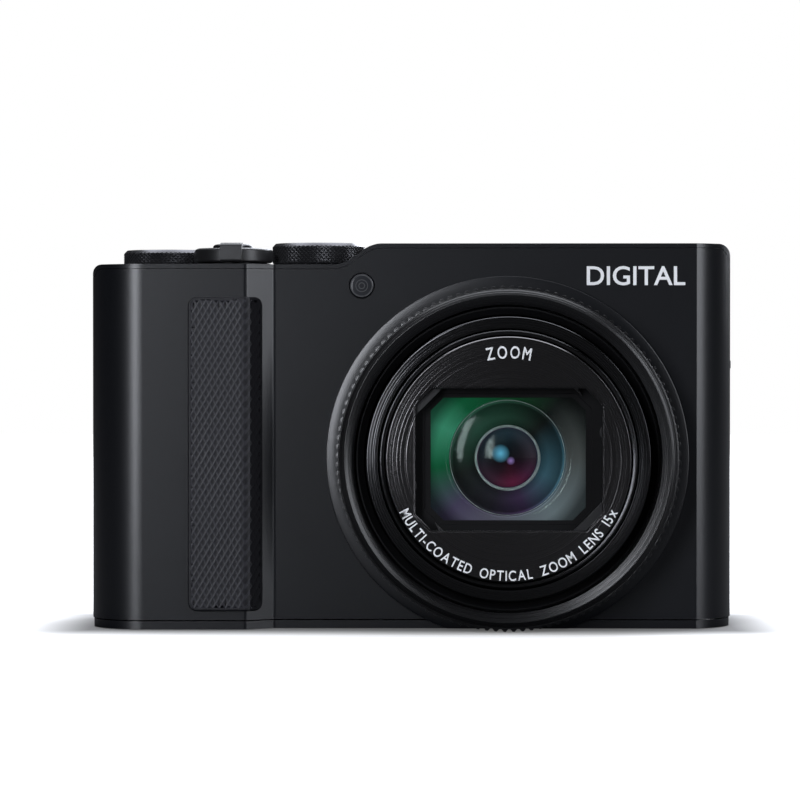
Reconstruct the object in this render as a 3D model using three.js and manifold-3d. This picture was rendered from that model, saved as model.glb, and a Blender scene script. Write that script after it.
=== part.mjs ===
// Compact digital camera with a telescoping zoom lens, as an assembly of separate pieces.
// Millimetres. X runs to the right as the front is seen, Y towards the back and Z up.
// The origin lies under the middle of the overall box, on the surface that the camera stands on.
import * as THREE from "three";
import { mergeVertices } from "three/addons/utils/BufferGeometryUtils.js";
import Module from "manifold-3d";

const wasm = await Module();
wasm.setup();
const { PI, sqrt, tan, atan2, cos, sin } = Math;

// ---- Driving dimensions ----

// Body
const bodyWidth = 111.2;
const bodyHeight = 66.4; // base to the top of the hump
const overallDepth = 45.2; // front of the parked lens to the back of the eyecup
const lensReach = 13.0; // parked lens ahead of the front panel
const eyecupReach = 2.0; // eyecup behind the back face
const gripRise = 3.2; // grip face ahead of the front panel
const gripWidth = 27.2; // left side to the edge of the grip face
const gripSlopeRun = 4.65; // width of the slope from the grip face to the front panel
const deckDrop = 3.6; // deck below the hump
const frontCorner = 9.5;
const backCorner = 5.0;
const sideRadius = 10.4; // sweep of the right side
const sideCrease = 6.5; // front panel's edge to the right side
const humpCorner = 2.4;
const deckCorner = 2.0;
const humpRun = 4.8; // width of the slope from the deck to the hump
const humpEase = 1.6; // rounding at both ends of that slope

// Walls and clearances
const wall = 1.2;
const coverThickness = 1.0;
const baseThickness = 1.4;
const rearShellDepth = 6.0;
const seam = 0.2; // gap between fixed pieces that meet
const play = 0.3; // gap round a piece that moves
const slideGap = 0.2; // radial gap between telescoping tubes

// Lens
const lensFromRight = 39.1;
const flangeMargin = 1.8; // flange wider than the control ring
const flangeThickness = 1.7;
const flangeSlope = 1.6; // width of the flange's sloped edge
const flangeDrop = 0.4; // drop of the flange across its slope
const footClearance = 0.1; // lens pieces above the standing surface
const ringWall = 2.8;
const ringRib = 0.4;
const ringLength = 7.7;
const ringLip = 0.8; // depth of the funnel in the ring's front
const sleeveWall = 1.45;
const sleeveSetback = 4.2; // sleeve's front edge behind the lens front
const frontBarrelRadius = 20.8;
const barrelWall = 0.85;
const outerBarrelWall = 2.1; // width of the outer barrel's front rim
const barrelLength = 22.0;
const outerBarrelSetback = 1.3; // behind the lens front when parked
const middleBarrelSetback = 0.9;
const frontPlateThickness = 1.2;
const windowWidth = 31.5;
const windowHeight = 24.0;
const windowCut = 2.8; // cut-off corners of the window
const baffleWidth = 26.3;
const baffleHeight = 20.8;
const baffleCut = 2.2;
const leafThickness = 0.3;
const leafPitch = 0.5; // from one leaf's plane to the next
const leafOverlap = 0.4; // closed leaf past the window's edge
const leafCut = 5.0; // corners of the outline that the leaves close
const leafPivotRadius = 17.6; // from the lens axis
const leafEar = 1.5;
const longLeaf = { side: 180, swing: 44 }; // pivot's place round the axis, and the angle to close
const shortLeaf = { side: 195, swing: 26 };
const frontGlassThickness = 4.6;
const frontGlassSag = 2.2;
const innerGlassRadius = 10.0;
const apertureRadius = 5.4;
const cellDepth = 6.0;
const lensBaseMargin = 0.3; // lens base wider than the sleeve
const lensBaseThickness = 1.2;
const lensBaseGap = 1.55; // lens base to the chassis
const sensorWidth = 20;
const sensorHeight = 16;
const sensorThickness = 1.6;
const motorRadius = 4.0;
const motorLength = 13.0;
const motorAngle = 139; // round the lens axis from the right
const motorFromBase = 15.2; // motor's front ahead of the lens base

// Top controls
const leverFromLeft = 24.5;
const leverFromGrip = 10.3; // grip face to the lever's axis
const leverRadius = 6.86;
const leverTop = 2.9; // above the deck
const leverLift = 0.7; // lever ring's underside above the deck
const leverTabWidth = 3.7;
const leverTabReach = 1.5;
const leverTabRise = 0.9;
const leverHubRadius = 4.4;
const shutterRadius = 3.6;
const shutterProud = 0.75; // above the lever ring
const shutterStemRadius = 1.8;
const modeDialRadius = 8.15;
const modeDialFromFront = 12.6;
const modeDialRise = 3.9; // above the deck
const rearDialFromLeft = 12.4;
const rearDialFromBack = 11.1;
const rearDialRadius = 8.2;
const rearDialRise = 2.9;
const dialGap = 0.6; // between neighbouring dials
const dialShaftRadius = 2.0;
const dialShaftLength = 4.5;
const dialFloat = 0.25; // dial's underside above the deck
const movieFromLeft = 25.6;
const movieFromBack = 6.8;
const movieRadius = 2.4;
const switchFromLeft = 35.6;
const switchFromBack = 5.0;
const switchTravel = 3.0;
const switchKnob = { length: 4.0, width: 2.6, rise: 1.2 };
const switchStem = { length: 3.0, width: 1.5 };

// Flash
const flashFromRight = 8.6; // right side to the flash lid's right end
const flashWidth = 29.0;
const flashFromFront = 2.7; // front panel to the lid's front edge
const flashLength = 13.1; // lid's front edge to its pivot
const flashLidThickness = 1.2;
const flashPivotRadius = 1.0;
const flashLamp = { inset: 1.5, front: 1.7, back: 4.7, height: 5.0 };
const flashWindowThickness = 0.5;
const flashTrayWall = 0.6;
const flashTrayDepth = 7.2;

// Back
const screenWidth = 72.0;
const screenHeight = 46.0;
const screenFromRight = 3.1;
const screenFromBase = 3.5;
const screenGlassThickness = 1.1;
const screenCorner = 1.5;
const lcdThickness = 2.4;
const lcdMargin = 2.0;
const finderWidth = 21.0;
const finderHeight = 12.2;
const finderFromRight = 4.1;
const finderFromTop = 2.2;
const finderDepth = 10.4;
const finderWindow = { width: 15.0, height: 9.6, depth: 8.0, corner: 2.0 };
const finderReach = 0.6; // finder block behind the back face
const eyeLensThickness = 2.0;
const eyecupMargin = 0.6;
const diopterRadius = 4.0;
const diopterWidth = 3.2;
const diopterProud = 1.1;
const thumbRest = { fromLeft: 3.6, width: 21.0, bottom: 43.5, height: 15.0, rise: 1.1, corner: 2.5 };
const padFromLeft = 18.1;
const padHeight = 23.5;
const padRadius = 8.6;
const setRadius = 3.9;
const padProud = 0.45;
const padThickness = 2.4;
const carrierRadius = 7.4;
const buttonRadius = 2.4;
const buttonProud = 0.5;
const buttonFlange = 0.6; // flange wider than the cap
const buttonTravel = 0.4;
const sideButtons = [
  { name: "af_lock_button", fromLeft: 31.0, z: 55.0 },
  { name: "burst_button", fromLeft: 25.1, z: 37.5 },
  { name: "playback_button", fromLeft: 11.1, z: 37.5 },
  { name: "display_button", fromLeft: 11.1, z: 8.8 },
  { name: "quick_menu_button", fromLeft: 25.1, z: 8.8 },
];
const liveViewFromRight = 38.1;
const liveViewFromTop = 8.4;

// Grip, lamp and strap lugs
const gripPad = { fromLeft: 17.25, wrap: 2.6, bottom: 3.2, height: 53.9, thickness: 0.7, corner: 1.6 };
const lampFromLeft = 47.0;
const lampFromTop = 7.3;
const lampRadius = 2.1;
const lampDepth = 2.2;
const lampProud = 0.2;
const lugWidth = 4.4;
const lugHeight = 7.2;
const lugFromBack = 14.6;
const lugZ = 45.5;
const lugDepth = 2.4;
const lugRim = 0.8;
const lugProud = 0.15;
const lugBar = { height: 1.4, proud: 0.45, thickness: 0.9 };

// Battery, doors and tripod bush
const batteryFromLeft = 8.0;
const batteryWidth = 34.2;
const batteryDepth = 8.2;
const batteryHeight = 43.0;
const batteryFromFront = 10.5; // front panel to the middle of its thickness
const bayWall = 0.8;
const bayGap = 0.4;
const doorMargin = 1.2; // battery door wider than the bay
const doorDepth = 16.0;
const doorThickness = 1.2;
const latch = { length: 5.0, width: 2.4, travel: 2.2, inset: 2.0 };
const portDoor = { fromBack: 19.1, width: 11.0, bottom: 12.0, height: 22.0, thickness: 1.0 };
const portBoard = { thickness: 1.0, depth: 4.4, socketDepth: 3.0 };
const sockets = [
  { bottom: 3.5, height: 7.5 },
  { bottom: 13.0, height: 6.5 },
];
const bushFromDoor = 2.2; // battery door to the bush
const bushFromFront = 13.1;
const bushRadius = 5.0;
const bushHoleRadius = 3.175;
const bushHeight = 6.4;
const bushFloor = 0.8;

// Frame and boards
const chassisThickness = 0.8;
const boardThickness = 1.2;
const boardMargin = 9.6; // from the left side
const switchBoardThickness = 1.4;
const stackGap = 0.8; // between the boards behind each other

const roundSegments = 48; // facets of the lens tubes
const dialSegments = 36;
const smallSegments = 20;

// ---- Places worked out from them ----

const left = -bodyWidth / 2;
const right = bodyWidth / 2;
const lensFront = -overallDepth / 2;
const front = lensFront + lensReach;
const gripFace = front - gripRise;
const eyecupBack = overallDepth / 2;
const back = eyecupBack - eyecupReach;
const innerBack = back - wall;
const splitY = back - rearShellDepth;
const deckZ = bodyHeight - deckDrop;
const gripEdge = left + gripWidth;
const lensX = right - lensFromRight;

// Telescoping tubes, from the inside out
const middleInner = frontBarrelRadius + slideGap;
const middleOuter = middleInner + barrelWall;
const outerInner = middleOuter + slideGap;
const outerRadius = outerInner + outerBarrelWall;
const sleeveInner = outerRadius + play;
const sleeveOuter = sleeveInner + sleeveWall;
const ringInner = sleeveOuter + play;
const ringOuter = ringInner + ringWall;
const flangeRadius = ringOuter + ringRib + flangeMargin;
const lensHeight = ringOuter + ringRib + footClearance;
const ringFront = front - seam - flangeThickness - play - ringLength;

// Lens cell, from the front back
const plateBack = lensFront + frontPlateThickness;
const leafFront = plateBack + seam;
const baffleFront = leafFront + leafPitch * 4;
const baffleBack = baffleFront + leafThickness * 2;
const glassVertex = baffleBack + play;
const glassBack = glassVertex + frontGlassThickness;
const cellFront = glassBack + seam;
const cellBack = cellFront + cellDepth;
const leafRadius = frontBarrelRadius - barrelWall - play;

// Top controls
const leverX = left + leverFromLeft;
const leverY = gripFace + leverFromGrip;
const modeDialY = front + modeDialFromFront;
const rearDialY = back - rearDialFromBack;
const leverRingTop = deckZ + leverTop;
const leverRingBottom = deckZ + leverLift;
const rearDialX = left + rearDialFromLeft;
const modeDialX = leverX + sqrt((leverRadius + modeDialRadius + dialGap) ** 2 - (modeDialY - leverY) ** 2);
const deckEnd = modeDialX + modeDialRadius - 3.3; // the slope starts beside the dial
const humpStart = deckEnd + humpRun;
const pocketRadius = modeDialRadius + dialGap;
const [movieX, movieY] = [left + movieFromLeft, back - movieFromBack];
const [switchX, switchY] = [left + switchFromLeft, back - switchFromBack];

// Flash
const flashRight = right - flashFromRight;
const flashLeft = flashRight - flashWidth;
const flashFrontY = front + flashFromFront;
const flashPivotY = flashFrontY + flashLength;
const flashPivotZ = bodyHeight - flashPivotRadius;
const flashLidBottom = bodyHeight - flashLidThickness;
const flashHoleFront = flashFrontY - play;
const flashHoleBack = flashPivotY + flashPivotRadius + play;
const lampBoxFront = flashFrontY + flashLamp.front;
const lampBoxBottom = flashLidBottom - flashLamp.height;

// Back
const screenRight = right - screenFromRight;
const screenLeft = screenRight - screenWidth;
const screenTop = screenFromBase + screenHeight;
const glassFront = back - 0.1;
const lcdBack = glassFront - screenGlassThickness - seam - 0.3;
const lcdFront = lcdBack - lcdThickness;
const finderRight = right - finderFromRight;
const finderLeft = finderRight - finderWidth;
const finderTop = bodyHeight - finderFromTop;
const finderBottom = finderTop - finderHeight;
const finderBack = back + finderReach;
const finderX = (finderLeft + finderRight) / 2;
const finderZ = (finderTop + finderBottom) / 2;
const diopterX = finderLeft - 1.6 - diopterRadius;
const diopterY = back + diopterProud - diopterRadius;
const padX = left + padFromLeft;
const padBack = back + padProud;
const padFront = padBack - padThickness;
const carrierBack = padFront - 0.6;
const carrierFront = carrierBack - 0.7;
const switchBoardBack = carrierFront - 0.9 - play;
const boardBack = switchBoardBack - switchBoardThickness;
const boardFront = boardBack - boardThickness;
const chassisBack = boardFront - stackGap;
const chassisFront = chassisBack - chassisThickness;
const lensBaseFront = chassisFront - lensBaseGap - lensBaseThickness;
const sleeveFront = lensFront + sleeveSetback;
const sleeveBack = lensBaseFront - seam;
const buttonBack = back + buttonProud;
const buttonFlangeBack = innerBack - 0.4;
const buttons = [
  ...sideButtons.map(({ name, fromLeft, z }) => ({ name, x: left + fromLeft, z })),
  { name: "live_view_button", x: right - liveViewFromRight, z: bodyHeight - liveViewFromTop },
];
const lugY = back - lugFromBack;
const lampX = left + lampFromLeft;
const lampZ = bodyHeight - lampFromTop;

// Battery bay and its door
const batteryY = front + batteryFromFront;
const batteryLeft = left + batteryFromLeft;
const batteryRight = batteryLeft + batteryWidth;
const bayLeft = batteryLeft - bayGap - bayWall;
const bayRight = batteryRight + bayGap + bayWall;
const bayFront = batteryY - batteryDepth / 2 - bayGap - bayWall;
const bayBack = batteryY + batteryDepth / 2 + bayGap + bayWall;
const bayBottom = baseThickness + 1.0;
const bayTop = bayBottom + batteryHeight + bayGap + bayWall;
const doorLeft = bayLeft - doorMargin;
const doorRight = bayRight + doorMargin / 2;
const doorPivotRadius = doorThickness / 2;
const doorPivotZ = 0.1 + doorPivotRadius;
const doorPivotY = batteryY - doorDepth / 2 + doorPivotRadius;
const doorFree = doorPivotY + doorDepth;
const latchX = (doorLeft + doorRight) / 2;
const latchY = doorFree - latch.inset - latch.width / 2 - latch.travel / 2;
const portPivotX = left + 0.1 + portDoor.thickness / 2;
const portY = back - portDoor.fromBack;
const portPivotY = portY + portDoor.width;
const bushX = doorRight + bushFromDoor + bushRadius;
const bushY = front + bushFromFront;

// ---- Solids ----

// A closed geometry as a solid that can be cut and joined.
function solidOf(geometry) {
  const bare = geometry.clone();
  bare.deleteAttribute("normal");
  bare.deleteAttribute("uv");
  const merged = mergeVertices(bare, 1e-4);
  const vertProperties = merged.attributes.position.array;
  const triVerts = new Uint32Array(merged.index.array);
  return new wasm.Manifold(new wasm.Mesh({ numProp: 3, vertProperties, triVerts }));
}

function geometryOf(solid) {
  const mesh = solid.getMesh();
  const geometry = new THREE.BufferGeometry();
  geometry.setAttribute("position", new THREE.BufferAttribute(mesh.vertProperties, 3));
  geometry.setIndex(new THREE.BufferAttribute(mesh.triVerts, 1));
  geometry.computeVertexNormals();
  return geometry;
}

const axisBases = {
  x: [new THREE.Vector3(0, 1, 0), new THREE.Vector3(0, 0, 1), new THREE.Vector3(1, 0, 0)],
  y: [new THREE.Vector3(1, 0, 0), new THREE.Vector3(0, 0, 1), new THREE.Vector3(0, -1, 0)],
  z: [new THREE.Vector3(1, 0, 0), new THREE.Vector3(0, 1, 0), new THREE.Vector3(0, 0, 1)],
};

// A flat shape thickened along an axis. The shape is drawn in YZ for x, in XZ for y and in XY for z.
function prism(shape, axis, from, to, curveSegments = 6) {
  const options = { depth: to - from, bevelEnabled: false, curveSegments };
  const geometry = new THREE.ExtrudeGeometry(shape, options);
  geometry.applyMatrix4(new THREE.Matrix4().makeBasis(...axisBases[axis]));
  const start = { x: [from, 0, 0], y: [0, to, 0], z: [0, 0, from] }[axis];
  geometry.translate(...start);
  return solidOf(geometry);
}

function box(x0, x1, y0, y1, z0, z1) {
  const geometry = new THREE.BoxGeometry(x1 - x0, y1 - y0, z1 - z0);
  geometry.translate((x0 + x1) / 2, (y0 + y1) / 2, (z0 + z1) / 2);
  return solidOf(geometry);
}

// A profile of [radius, height] points turned about an axis through x, y, z.
function turned(profile, axis, segments, [x, y, z] = [0, 0, 0]) {
  const around = profile.map((point, i) => [point, profile[(i + 1) % profile.length]]);
  const area = around.reduce((sum, [[r0, h0], [r1, h1]]) => sum + r0 * h1 - r1 * h0, 0);
  const points = profile.map(([r, h]) => new THREE.Vector2(r, h));
  if (area < 0) points.reverse();
  if (points[0].x > 0) points.push(points[0].clone());
  const geometry = new THREE.LatheGeometry(points, segments);
  if (axis === "z") geometry.rotateX(PI / 2);
  if (axis === "x") geometry.rotateZ(-PI / 2);
  geometry.translate(x, y, z);
  return solidOf(geometry);
}

const disc = (radius, from, to) => [[0, from], [radius, from], [radius, to], [0, to]];
const hoop = (inner, outer, from, to) => [[inner, from], [outer, from], [outer, to], [inner, to]];

function roundedRectangle(x0, x1, y0, y1, radius) {
  const shape = new THREE.Shape();
  shape.moveTo(x0 + radius, y0);
  shape.absarc(x1 - radius, y0 + radius, radius, -PI / 2, 0, false);
  shape.absarc(x1 - radius, y1 - radius, radius, 0, PI / 2, false);
  shape.absarc(x0 + radius, y1 - radius, radius, PI / 2, PI, false);
  shape.absarc(x0 + radius, y0 + radius, radius, PI, 1.5 * PI, false);
  return shape;
}

// A rectangle about the origin with its corners cut off.
function cutRectangle(width, height, cut) {
  const [a, b] = [width / 2, height / 2];
  const shape = new THREE.Shape();
  shape.moveTo(-a + cut, -b);
  shape.lineTo(a - cut, -b);
  shape.lineTo(a, -b + cut);
  shape.lineTo(a, b - cut);
  shape.lineTo(a - cut, b);
  shape.lineTo(-a + cut, b);
  shape.lineTo(-a, b - cut);
  shape.lineTo(-a, -b + cut);
  shape.closePath();
  return shape;
}

// The body's outline seen from above, drawn in by an inset.
function planShape(inset) {
  const shift = inset * tan(atan2(gripRise, gripSlopeRun) / 2);
  const [backR, frontR, sideR] = [backCorner - inset, frontCorner - inset, sideRadius - inset];
  const [x0, x1, y0, y1] = [left + inset, right - inset, gripFace + inset, back - inset];
  const panel = front + inset;
  const sideX = right - sideRadius;
  const sideY = front + sqrt(sideRadius ** 2 - (sideRadius - sideCrease) ** 2);
  const creaseX = sideX + sqrt(sideR ** 2 - (sideY - panel) ** 2);
  const shape = new THREE.Shape();
  shape.moveTo(x0, y1 - backR);
  shape.absarc(x0 + frontR, y0 + frontR, frontR, PI, 1.5 * PI, false);
  shape.lineTo(gripEdge - shift, y0);
  shape.lineTo(gripEdge + gripSlopeRun - shift, panel);
  shape.lineTo(creaseX, panel);
  shape.absarc(sideX, sideY, sideR, atan2(panel - sideY, creaseX - sideX), 0, false);
  shape.absarc(x1 - backR, y1 - backR, backR, 0, PI / 2, false);
  shape.absarc(x0 + backR, y1 - backR, backR, PI / 2, PI, false);
  return shape;
}

// The body's outline seen from the front: deck, slope and hump, lowered by a drop.
// A dropped outline keeps inside the corners, then steps out past the sides below them.
function frontShape(drop, bottom) {
  const [deck, hump] = [deckZ - drop, bodyHeight - drop];
  const slope = sqrt(humpRun ** 2 + deckDrop ** 2);
  const [easeX, easeZ] = [(humpEase * humpRun) / slope, (humpEase * deckDrop) / slope];
  const step = Math.max(drop - coverThickness, 0);
  const [humpStep, deckStep] = [bodyHeight - humpCorner - step, deckZ - deckCorner - step];
  const shape = new THREE.Shape();
  shape.moveTo(left - 1, bottom);
  shape.lineTo(right + 1, bottom);
  shape.lineTo(right + 1, humpStep);
  shape.lineTo(right - drop, humpStep);
  shape.absarc(right - humpCorner, bodyHeight - humpCorner, humpCorner - drop, 0, PI / 2, false);
  shape.lineTo(humpStart + humpEase, hump);
  shape.quadraticCurveTo(humpStart, hump, humpStart - easeX, hump - easeZ);
  shape.lineTo(deckEnd + easeX, deck + easeZ);
  shape.quadraticCurveTo(deckEnd, deck, deckEnd - humpEase, deck);
  shape.absarc(left + deckCorner, deckZ - deckCorner, deckCorner - drop, PI / 2, PI, false);
  shape.lineTo(left + drop, deckStep);
  shape.lineTo(left - 1, deckStep);
  shape.closePath();
  return shape;
}

const frontBlock = (drop, bottom) => prism(frontShape(drop, bottom), "y", gripFace - 1, back + 1, 4);

function bodyBlock(inset, drop, bottom) {
  return prism(planShape(inset), "z", bottom, bodyHeight + 1).intersect(frontBlock(drop, bottom));
}

// ---- Casing ----

const shellTopDrop = coverThickness + seam;
const shellBottom = baseThickness + seam;

function shellWall() {
  const cavity = prism(planShape(wall), "z", shellBottom - 1, bodyHeight + 1);
  return bodyBlock(0, shellTopDrop, shellBottom).subtract(cavity);
}

function lugOutline(grow) {
  const [a, b] = [lugWidth / 2 + grow, lugHeight / 2 + grow];
  return roundedRectangle(lugY - a, lugY + a, lugZ - b, lugZ + b, a - 0.01);
}

function lugHole() {
  return prism(lugOutline(seam), "x", left - 1, right + 1);
}

function frontShell() {
  const [y0, y1] = [portY - play, portPivotY + portDoor.thickness / 2 + play];
  const [z0, z1] = [portDoor.bottom - play, portDoor.bottom + portDoor.height + play];
  const lensDisc = disc(sleeveOuter + play, gripFace, splitY);
  const lensHole = turned(lensDisc, "y", roundSegments, [lensX, 0, lensHeight]);
  const lampHole = turned(disc(lampRadius + seam, gripFace, 0), "y", smallSegments, [lampX, 0, lampZ]);
  return shellWall()
    .intersect(box(left - 1, right + 1, gripFace - 1, splitY, 0, bodyHeight))
    .subtract(lensHole)
    .subtract(lampHole)
    .subtract(lugHole())
    .subtract(box(left - 1, left + wall + 1, y0, y1, z0, z1));
}

function backWindow(x0, x1, z0, z1, corner) {
  const outline = roundedRectangle(x0 - seam, x1 + seam, z0 - seam, z1 + seam, corner);
  return prism(outline, "y", splitY, back + 1);
}

function backHole(x, z, radius) {
  return turned(disc(radius + play, splitY, back + 1), "y", smallSegments, [x, 0, z]);
}

function rearShell() {
  const depth = box(left - 1, right + 1, splitY + seam, back + 1, 0, bodyHeight);
  const diopterSlot = box(
    diopterX - diopterRadius, diopterX + diopterRadius, splitY, back + 1,
    finderZ - diopterWidth / 2 - play, finderZ + diopterWidth / 2 + play,
  );
  const cuts = [
    backWindow(screenLeft, screenRight, screenFromBase, screenTop, screenCorner),
    backWindow(finderLeft, finderRight, finderBottom, finderTop, 1.0),
    backHole(padX, padHeight, padRadius + 0.2),
    diopterSlot,
    ...buttons.map(({ x, z }) => backHole(x, z, buttonRadius)),
  ];
  return cuts.reduce((solid, cut) => solid.subtract(cut), shellWall().intersect(depth));
}

function topCover() {
  const sheet = bodyBlock(0, 0, 10).subtract(frontBlock(coverThickness, 9));
  const surround = bodyBlock(wall + seam, 0, 10).intersect(
    box(deckEnd - 3, modeDialX + pocketRadius + 2.5, gripFace, back, deckZ - coverThickness, bodyHeight),
  );
  const above = bodyHeight + 1;
  const below = deckZ - 5;
  const pocket = turned(disc(pocketRadius, deckZ, above), "z", dialSegments, [modeDialX, modeDialY, 0]);
  const hole = (x, y, radius) => turned(disc(radius + play, below, above), "z", smallSegments, [x, y, 0]);
  const [slotX, slotY] = [switchStem.length / 2 + play, switchStem.width / 2 + play];
  const slotEnd = switchX + slotX + switchTravel;
  return sheet
    .add(surround)
    .subtract(pocket)
    .subtract(hole(modeDialX, modeDialY, dialShaftRadius))
    .subtract(hole(rearDialX, rearDialY, dialShaftRadius))
    .subtract(hole(leverX, leverY, leverHubRadius))
    .subtract(hole(movieX, movieY, movieRadius))
    .subtract(box(switchX - slotX, slotEnd, switchY - slotY, switchY + slotY, below, above))
    .subtract(box(flashLeft - play, flashRight + play, flashHoleFront, flashHoleBack, below, above));
}

function basePlate() {
  const door = box(
    doorLeft - play, doorRight + play, doorPivotY - doorPivotRadius - play, doorFree + play,
    -1, baseThickness + 1,
  );
  return prism(planShape(seam), "z", 0, baseThickness)
    .subtract(door)
    .subtract(turned(disc(bushRadius + seam, -1, baseThickness + 1), "z", smallSegments, [bushX, bushY, 0]));
}

// Rubber strip on the grip face that turns the grip's edge and runs down its slope.
function gripStrip() {
  const t = gripPad.thickness;
  const lift = 0.1;
  const angle = atan2(gripRise, gripSlopeRun);
  const [dx, dy] = [cos(angle), sin(angle)];
  const bend = tan(angle / 2);
  const corner = (out) => [gripEdge + out * bend, gripFace - out];
  const end = (out) => [gripEdge + gripPad.wrap + out * dy, gripFace + (gripPad.wrap / dx) * dy - out * dx];
  const x0 = left + gripPad.fromLeft;
  const outer = [[x0, gripFace - lift], [x0, gripFace - lift - t], corner(lift + t), end(lift + t)];
  const points = [...outer, end(lift), corner(lift)];
  const strip = prism(new THREE.Shape(points.map(([x, y]) => new THREE.Vector2(x, y))), "z", 0, bodyHeight);
  const top = gripPad.bottom + gripPad.height;
  const outline = roundedRectangle(x0 - 0.01, end(lift + t)[0] + 0.01, gripPad.bottom, top, gripPad.corner);
  return strip.intersect(prism(outline, "y", gripFace - 3, front));
}

function thumbPad() {
  const { fromLeft, width, bottom, height, rise, corner } = thumbRest;
  const outline = roundedRectangle(left + fromLeft, left + fromLeft + width, bottom, bottom + height, corner);
  return prism(outline, "y", back + 0.1, back + 0.1 + rise);
}

// A cup let into the side with a bar across its mouth, for a wrist strap's cord.
function strapLug(side) {
  const face = bodyWidth / 2;
  const cup = prism(lugOutline(0), "x", face - lugDepth, face + lugProud);
  const hollow = prism(lugOutline(-lugRim), "x", face - lugDepth + 0.6, face + lugProud + 1);
  const bar = box(
    face + lugBar.proud - lugBar.thickness, face + lugBar.proud,
    lugY - lugWidth / 2 + 0.1, lugY + lugWidth / 2 - 0.1,
    lugZ - lugBar.height / 2, lugZ + lugBar.height / 2,
  );
  const lug = cup.subtract(hollow).add(bar);
  return side > 0 ? lug : lug.mirror([1, 0, 0]);
}

function assistLamp() {
  const bevel = 0.3;
  return turned([
    [0, -lampProud], [lampRadius - bevel, -lampProud], [lampRadius, 0],
    [lampRadius, lampDepth], [0, lampDepth],
  ], "y", smallSegments);
}

// ---- Lens: every piece is turned about the lens axis, at its own depth ----

function lensFlange() {
  const [y0, y1] = [front - seam - flangeThickness, front - seam];
  const inner = sleeveOuter + seam;
  const profile = [
    [inner, y0], [flangeRadius - flangeSlope, y0], [flangeRadius, y0 + flangeDrop], [flangeRadius, y1],
    [inner, y1],
  ];
  const reach = flangeRadius + 1;
  const under = box(-reach, reach, y0 - 1, y1 + 1, -reach - lensHeight, footClearance - lensHeight);
  return turned(profile, "y", roundSegments).subtract(under);
}

function lensSleeve() {
  return turned(hoop(sleeveInner, sleeveOuter, sleeveFront, sleeveBack), "y", roundSegments);
}

function sensorBlock(grow, from, to) {
  const [a, b] = [sensorWidth / 2 + grow, sensorHeight / 2 + grow];
  return box(-a, a, from, to, -b, b);
}

function lensBase() {
  const plate = disc(sleeveOuter + lensBaseMargin, lensBaseFront, lensBaseFront + lensBaseThickness);
  return turned(plate, "y", roundSegments).subtract(sensorBlock(seam, lensBaseFront - 1, chassisFront));
}

function imageSensor() {
  return sensorBlock(0, sleeveBack, sleeveBack + sensorThickness);
}

function zoomMotor() {
  const shaft = 0.8;
  const pinion = 2.2;
  return turned([
    [0, 0], [motorRadius, 0], [motorRadius, motorLength], [shaft, motorLength],
    [shaft, motorLength + 1], [pinion, motorLength + 1], [pinion, motorLength + 3], [0, motorLength + 3],
  ], "y", smallSegments);
}

function controlRing() {
  const rear = ringFront + ringLength;
  const ribTop = ringOuter + ringRib;
  const bevel = 0.6;
  return turned([
    [ringInner, ringFront + ringLip], [ringOuter - bevel, ringFront], [ringOuter, ringFront + bevel],
    [ribTop, ringFront + bevel + 0.1], [ribTop, rear - 0.5], [ringOuter, rear - 0.3],
    [ringOuter, rear], [ringInner, rear],
  ], "y", roundSegments);
}

function outerBarrel() {
  const y0 = lensFront + outerBarrelSetback;
  const tubeInner = outerRadius - barrelWall;
  return turned([
    [outerInner, y0], [outerRadius, y0], [outerRadius, y0 + barrelLength],
    [tubeInner, y0 + barrelLength], [tubeInner, y0 + 1.2], [outerInner, y0 + 1.2],
  ], "y", roundSegments);
}

function middleBarrel() {
  const y0 = lensFront + middleBarrelSetback;
  return turned(hoop(middleInner, middleOuter, y0, y0 + barrelLength), "y", roundSegments);
}

function frontBarrel() {
  const [y0, y1] = [plateBack + seam, lensFront + barrelLength];
  return turned(hoop(frontBarrelRadius - barrelWall, frontBarrelRadius, y0, y1), "y", roundSegments);
}

function frontPlate() {
  const window = prism(cutRectangle(windowWidth, windowHeight, windowCut), "y", lensFront - 1, plateBack + 1);
  return turned(disc(frontBarrelRadius, lensFront, plateBack), "y", roundSegments).subtract(window);
}

function leafPivot(side) {
  const angle = (side * PI) / 180;
  return [leafPivotRadius * cos(angle), leafPivotRadius * sin(angle)];
}

// Barrier leaf in its stowed place between the window and the barrel: the part of the closed window
// that still lies there once it is swung open about the pivot, and passes inside the barrel halfway.
function barrierLeaf({ side, swing }, layer) {
  const [px, pz] = leafPivot(side);
  const y0 = leafFront + leafPitch * layer;
  const y1 = y0 + leafThickness;
  const swung = (solid, angle) =>
    solid.translate([-px, 0, -pz]).rotate([0, -angle, 0]).translate([px, 0, pz]);
  const outline = (grow) => cutRectangle(windowWidth + grow, windowHeight + grow, leafCut);
  const opening = (grow) => prism(outline(grow), "y", y0, y1);
  const room = turned(disc(leafRadius, y0, y1), "y", roundSegments);
  const stowed = room
    .subtract(opening(seam * 2))
    .intersect(swung(opening(leafOverlap * 2).intersect(room), swing))
    .intersect(swung(room, swing / 2));
  const ear = turned(disc(leafEar, y0, y1), "y", smallSegments, [px, 0, pz]);
  const pieces = stowed.add(ear).decompose();
  return pieces.reduce((largest, piece) => (piece.volume() > largest.volume() ? piece : largest));
}

function lightBaffle() {
  const outline = cutRectangle(baffleWidth, baffleHeight, baffleCut);
  const window = prism(outline, "y", baffleFront - 1, baffleBack + 1);
  return turned(disc(leafRadius, baffleFront, baffleBack), "y", roundSegments).subtract(window);
}

function frontElement() {
  const steps = 5;
  const dome = Array.from({ length: steps + 1 }, (_, i) => {
    const r = (leafRadius * i) / steps;
    return [r, glassVertex + frontGlassSag * (r / leafRadius) ** 2];
  });
  return turned([...dome, [leafRadius, glassBack], [0, glassBack]], "y", roundSegments);
}

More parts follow.
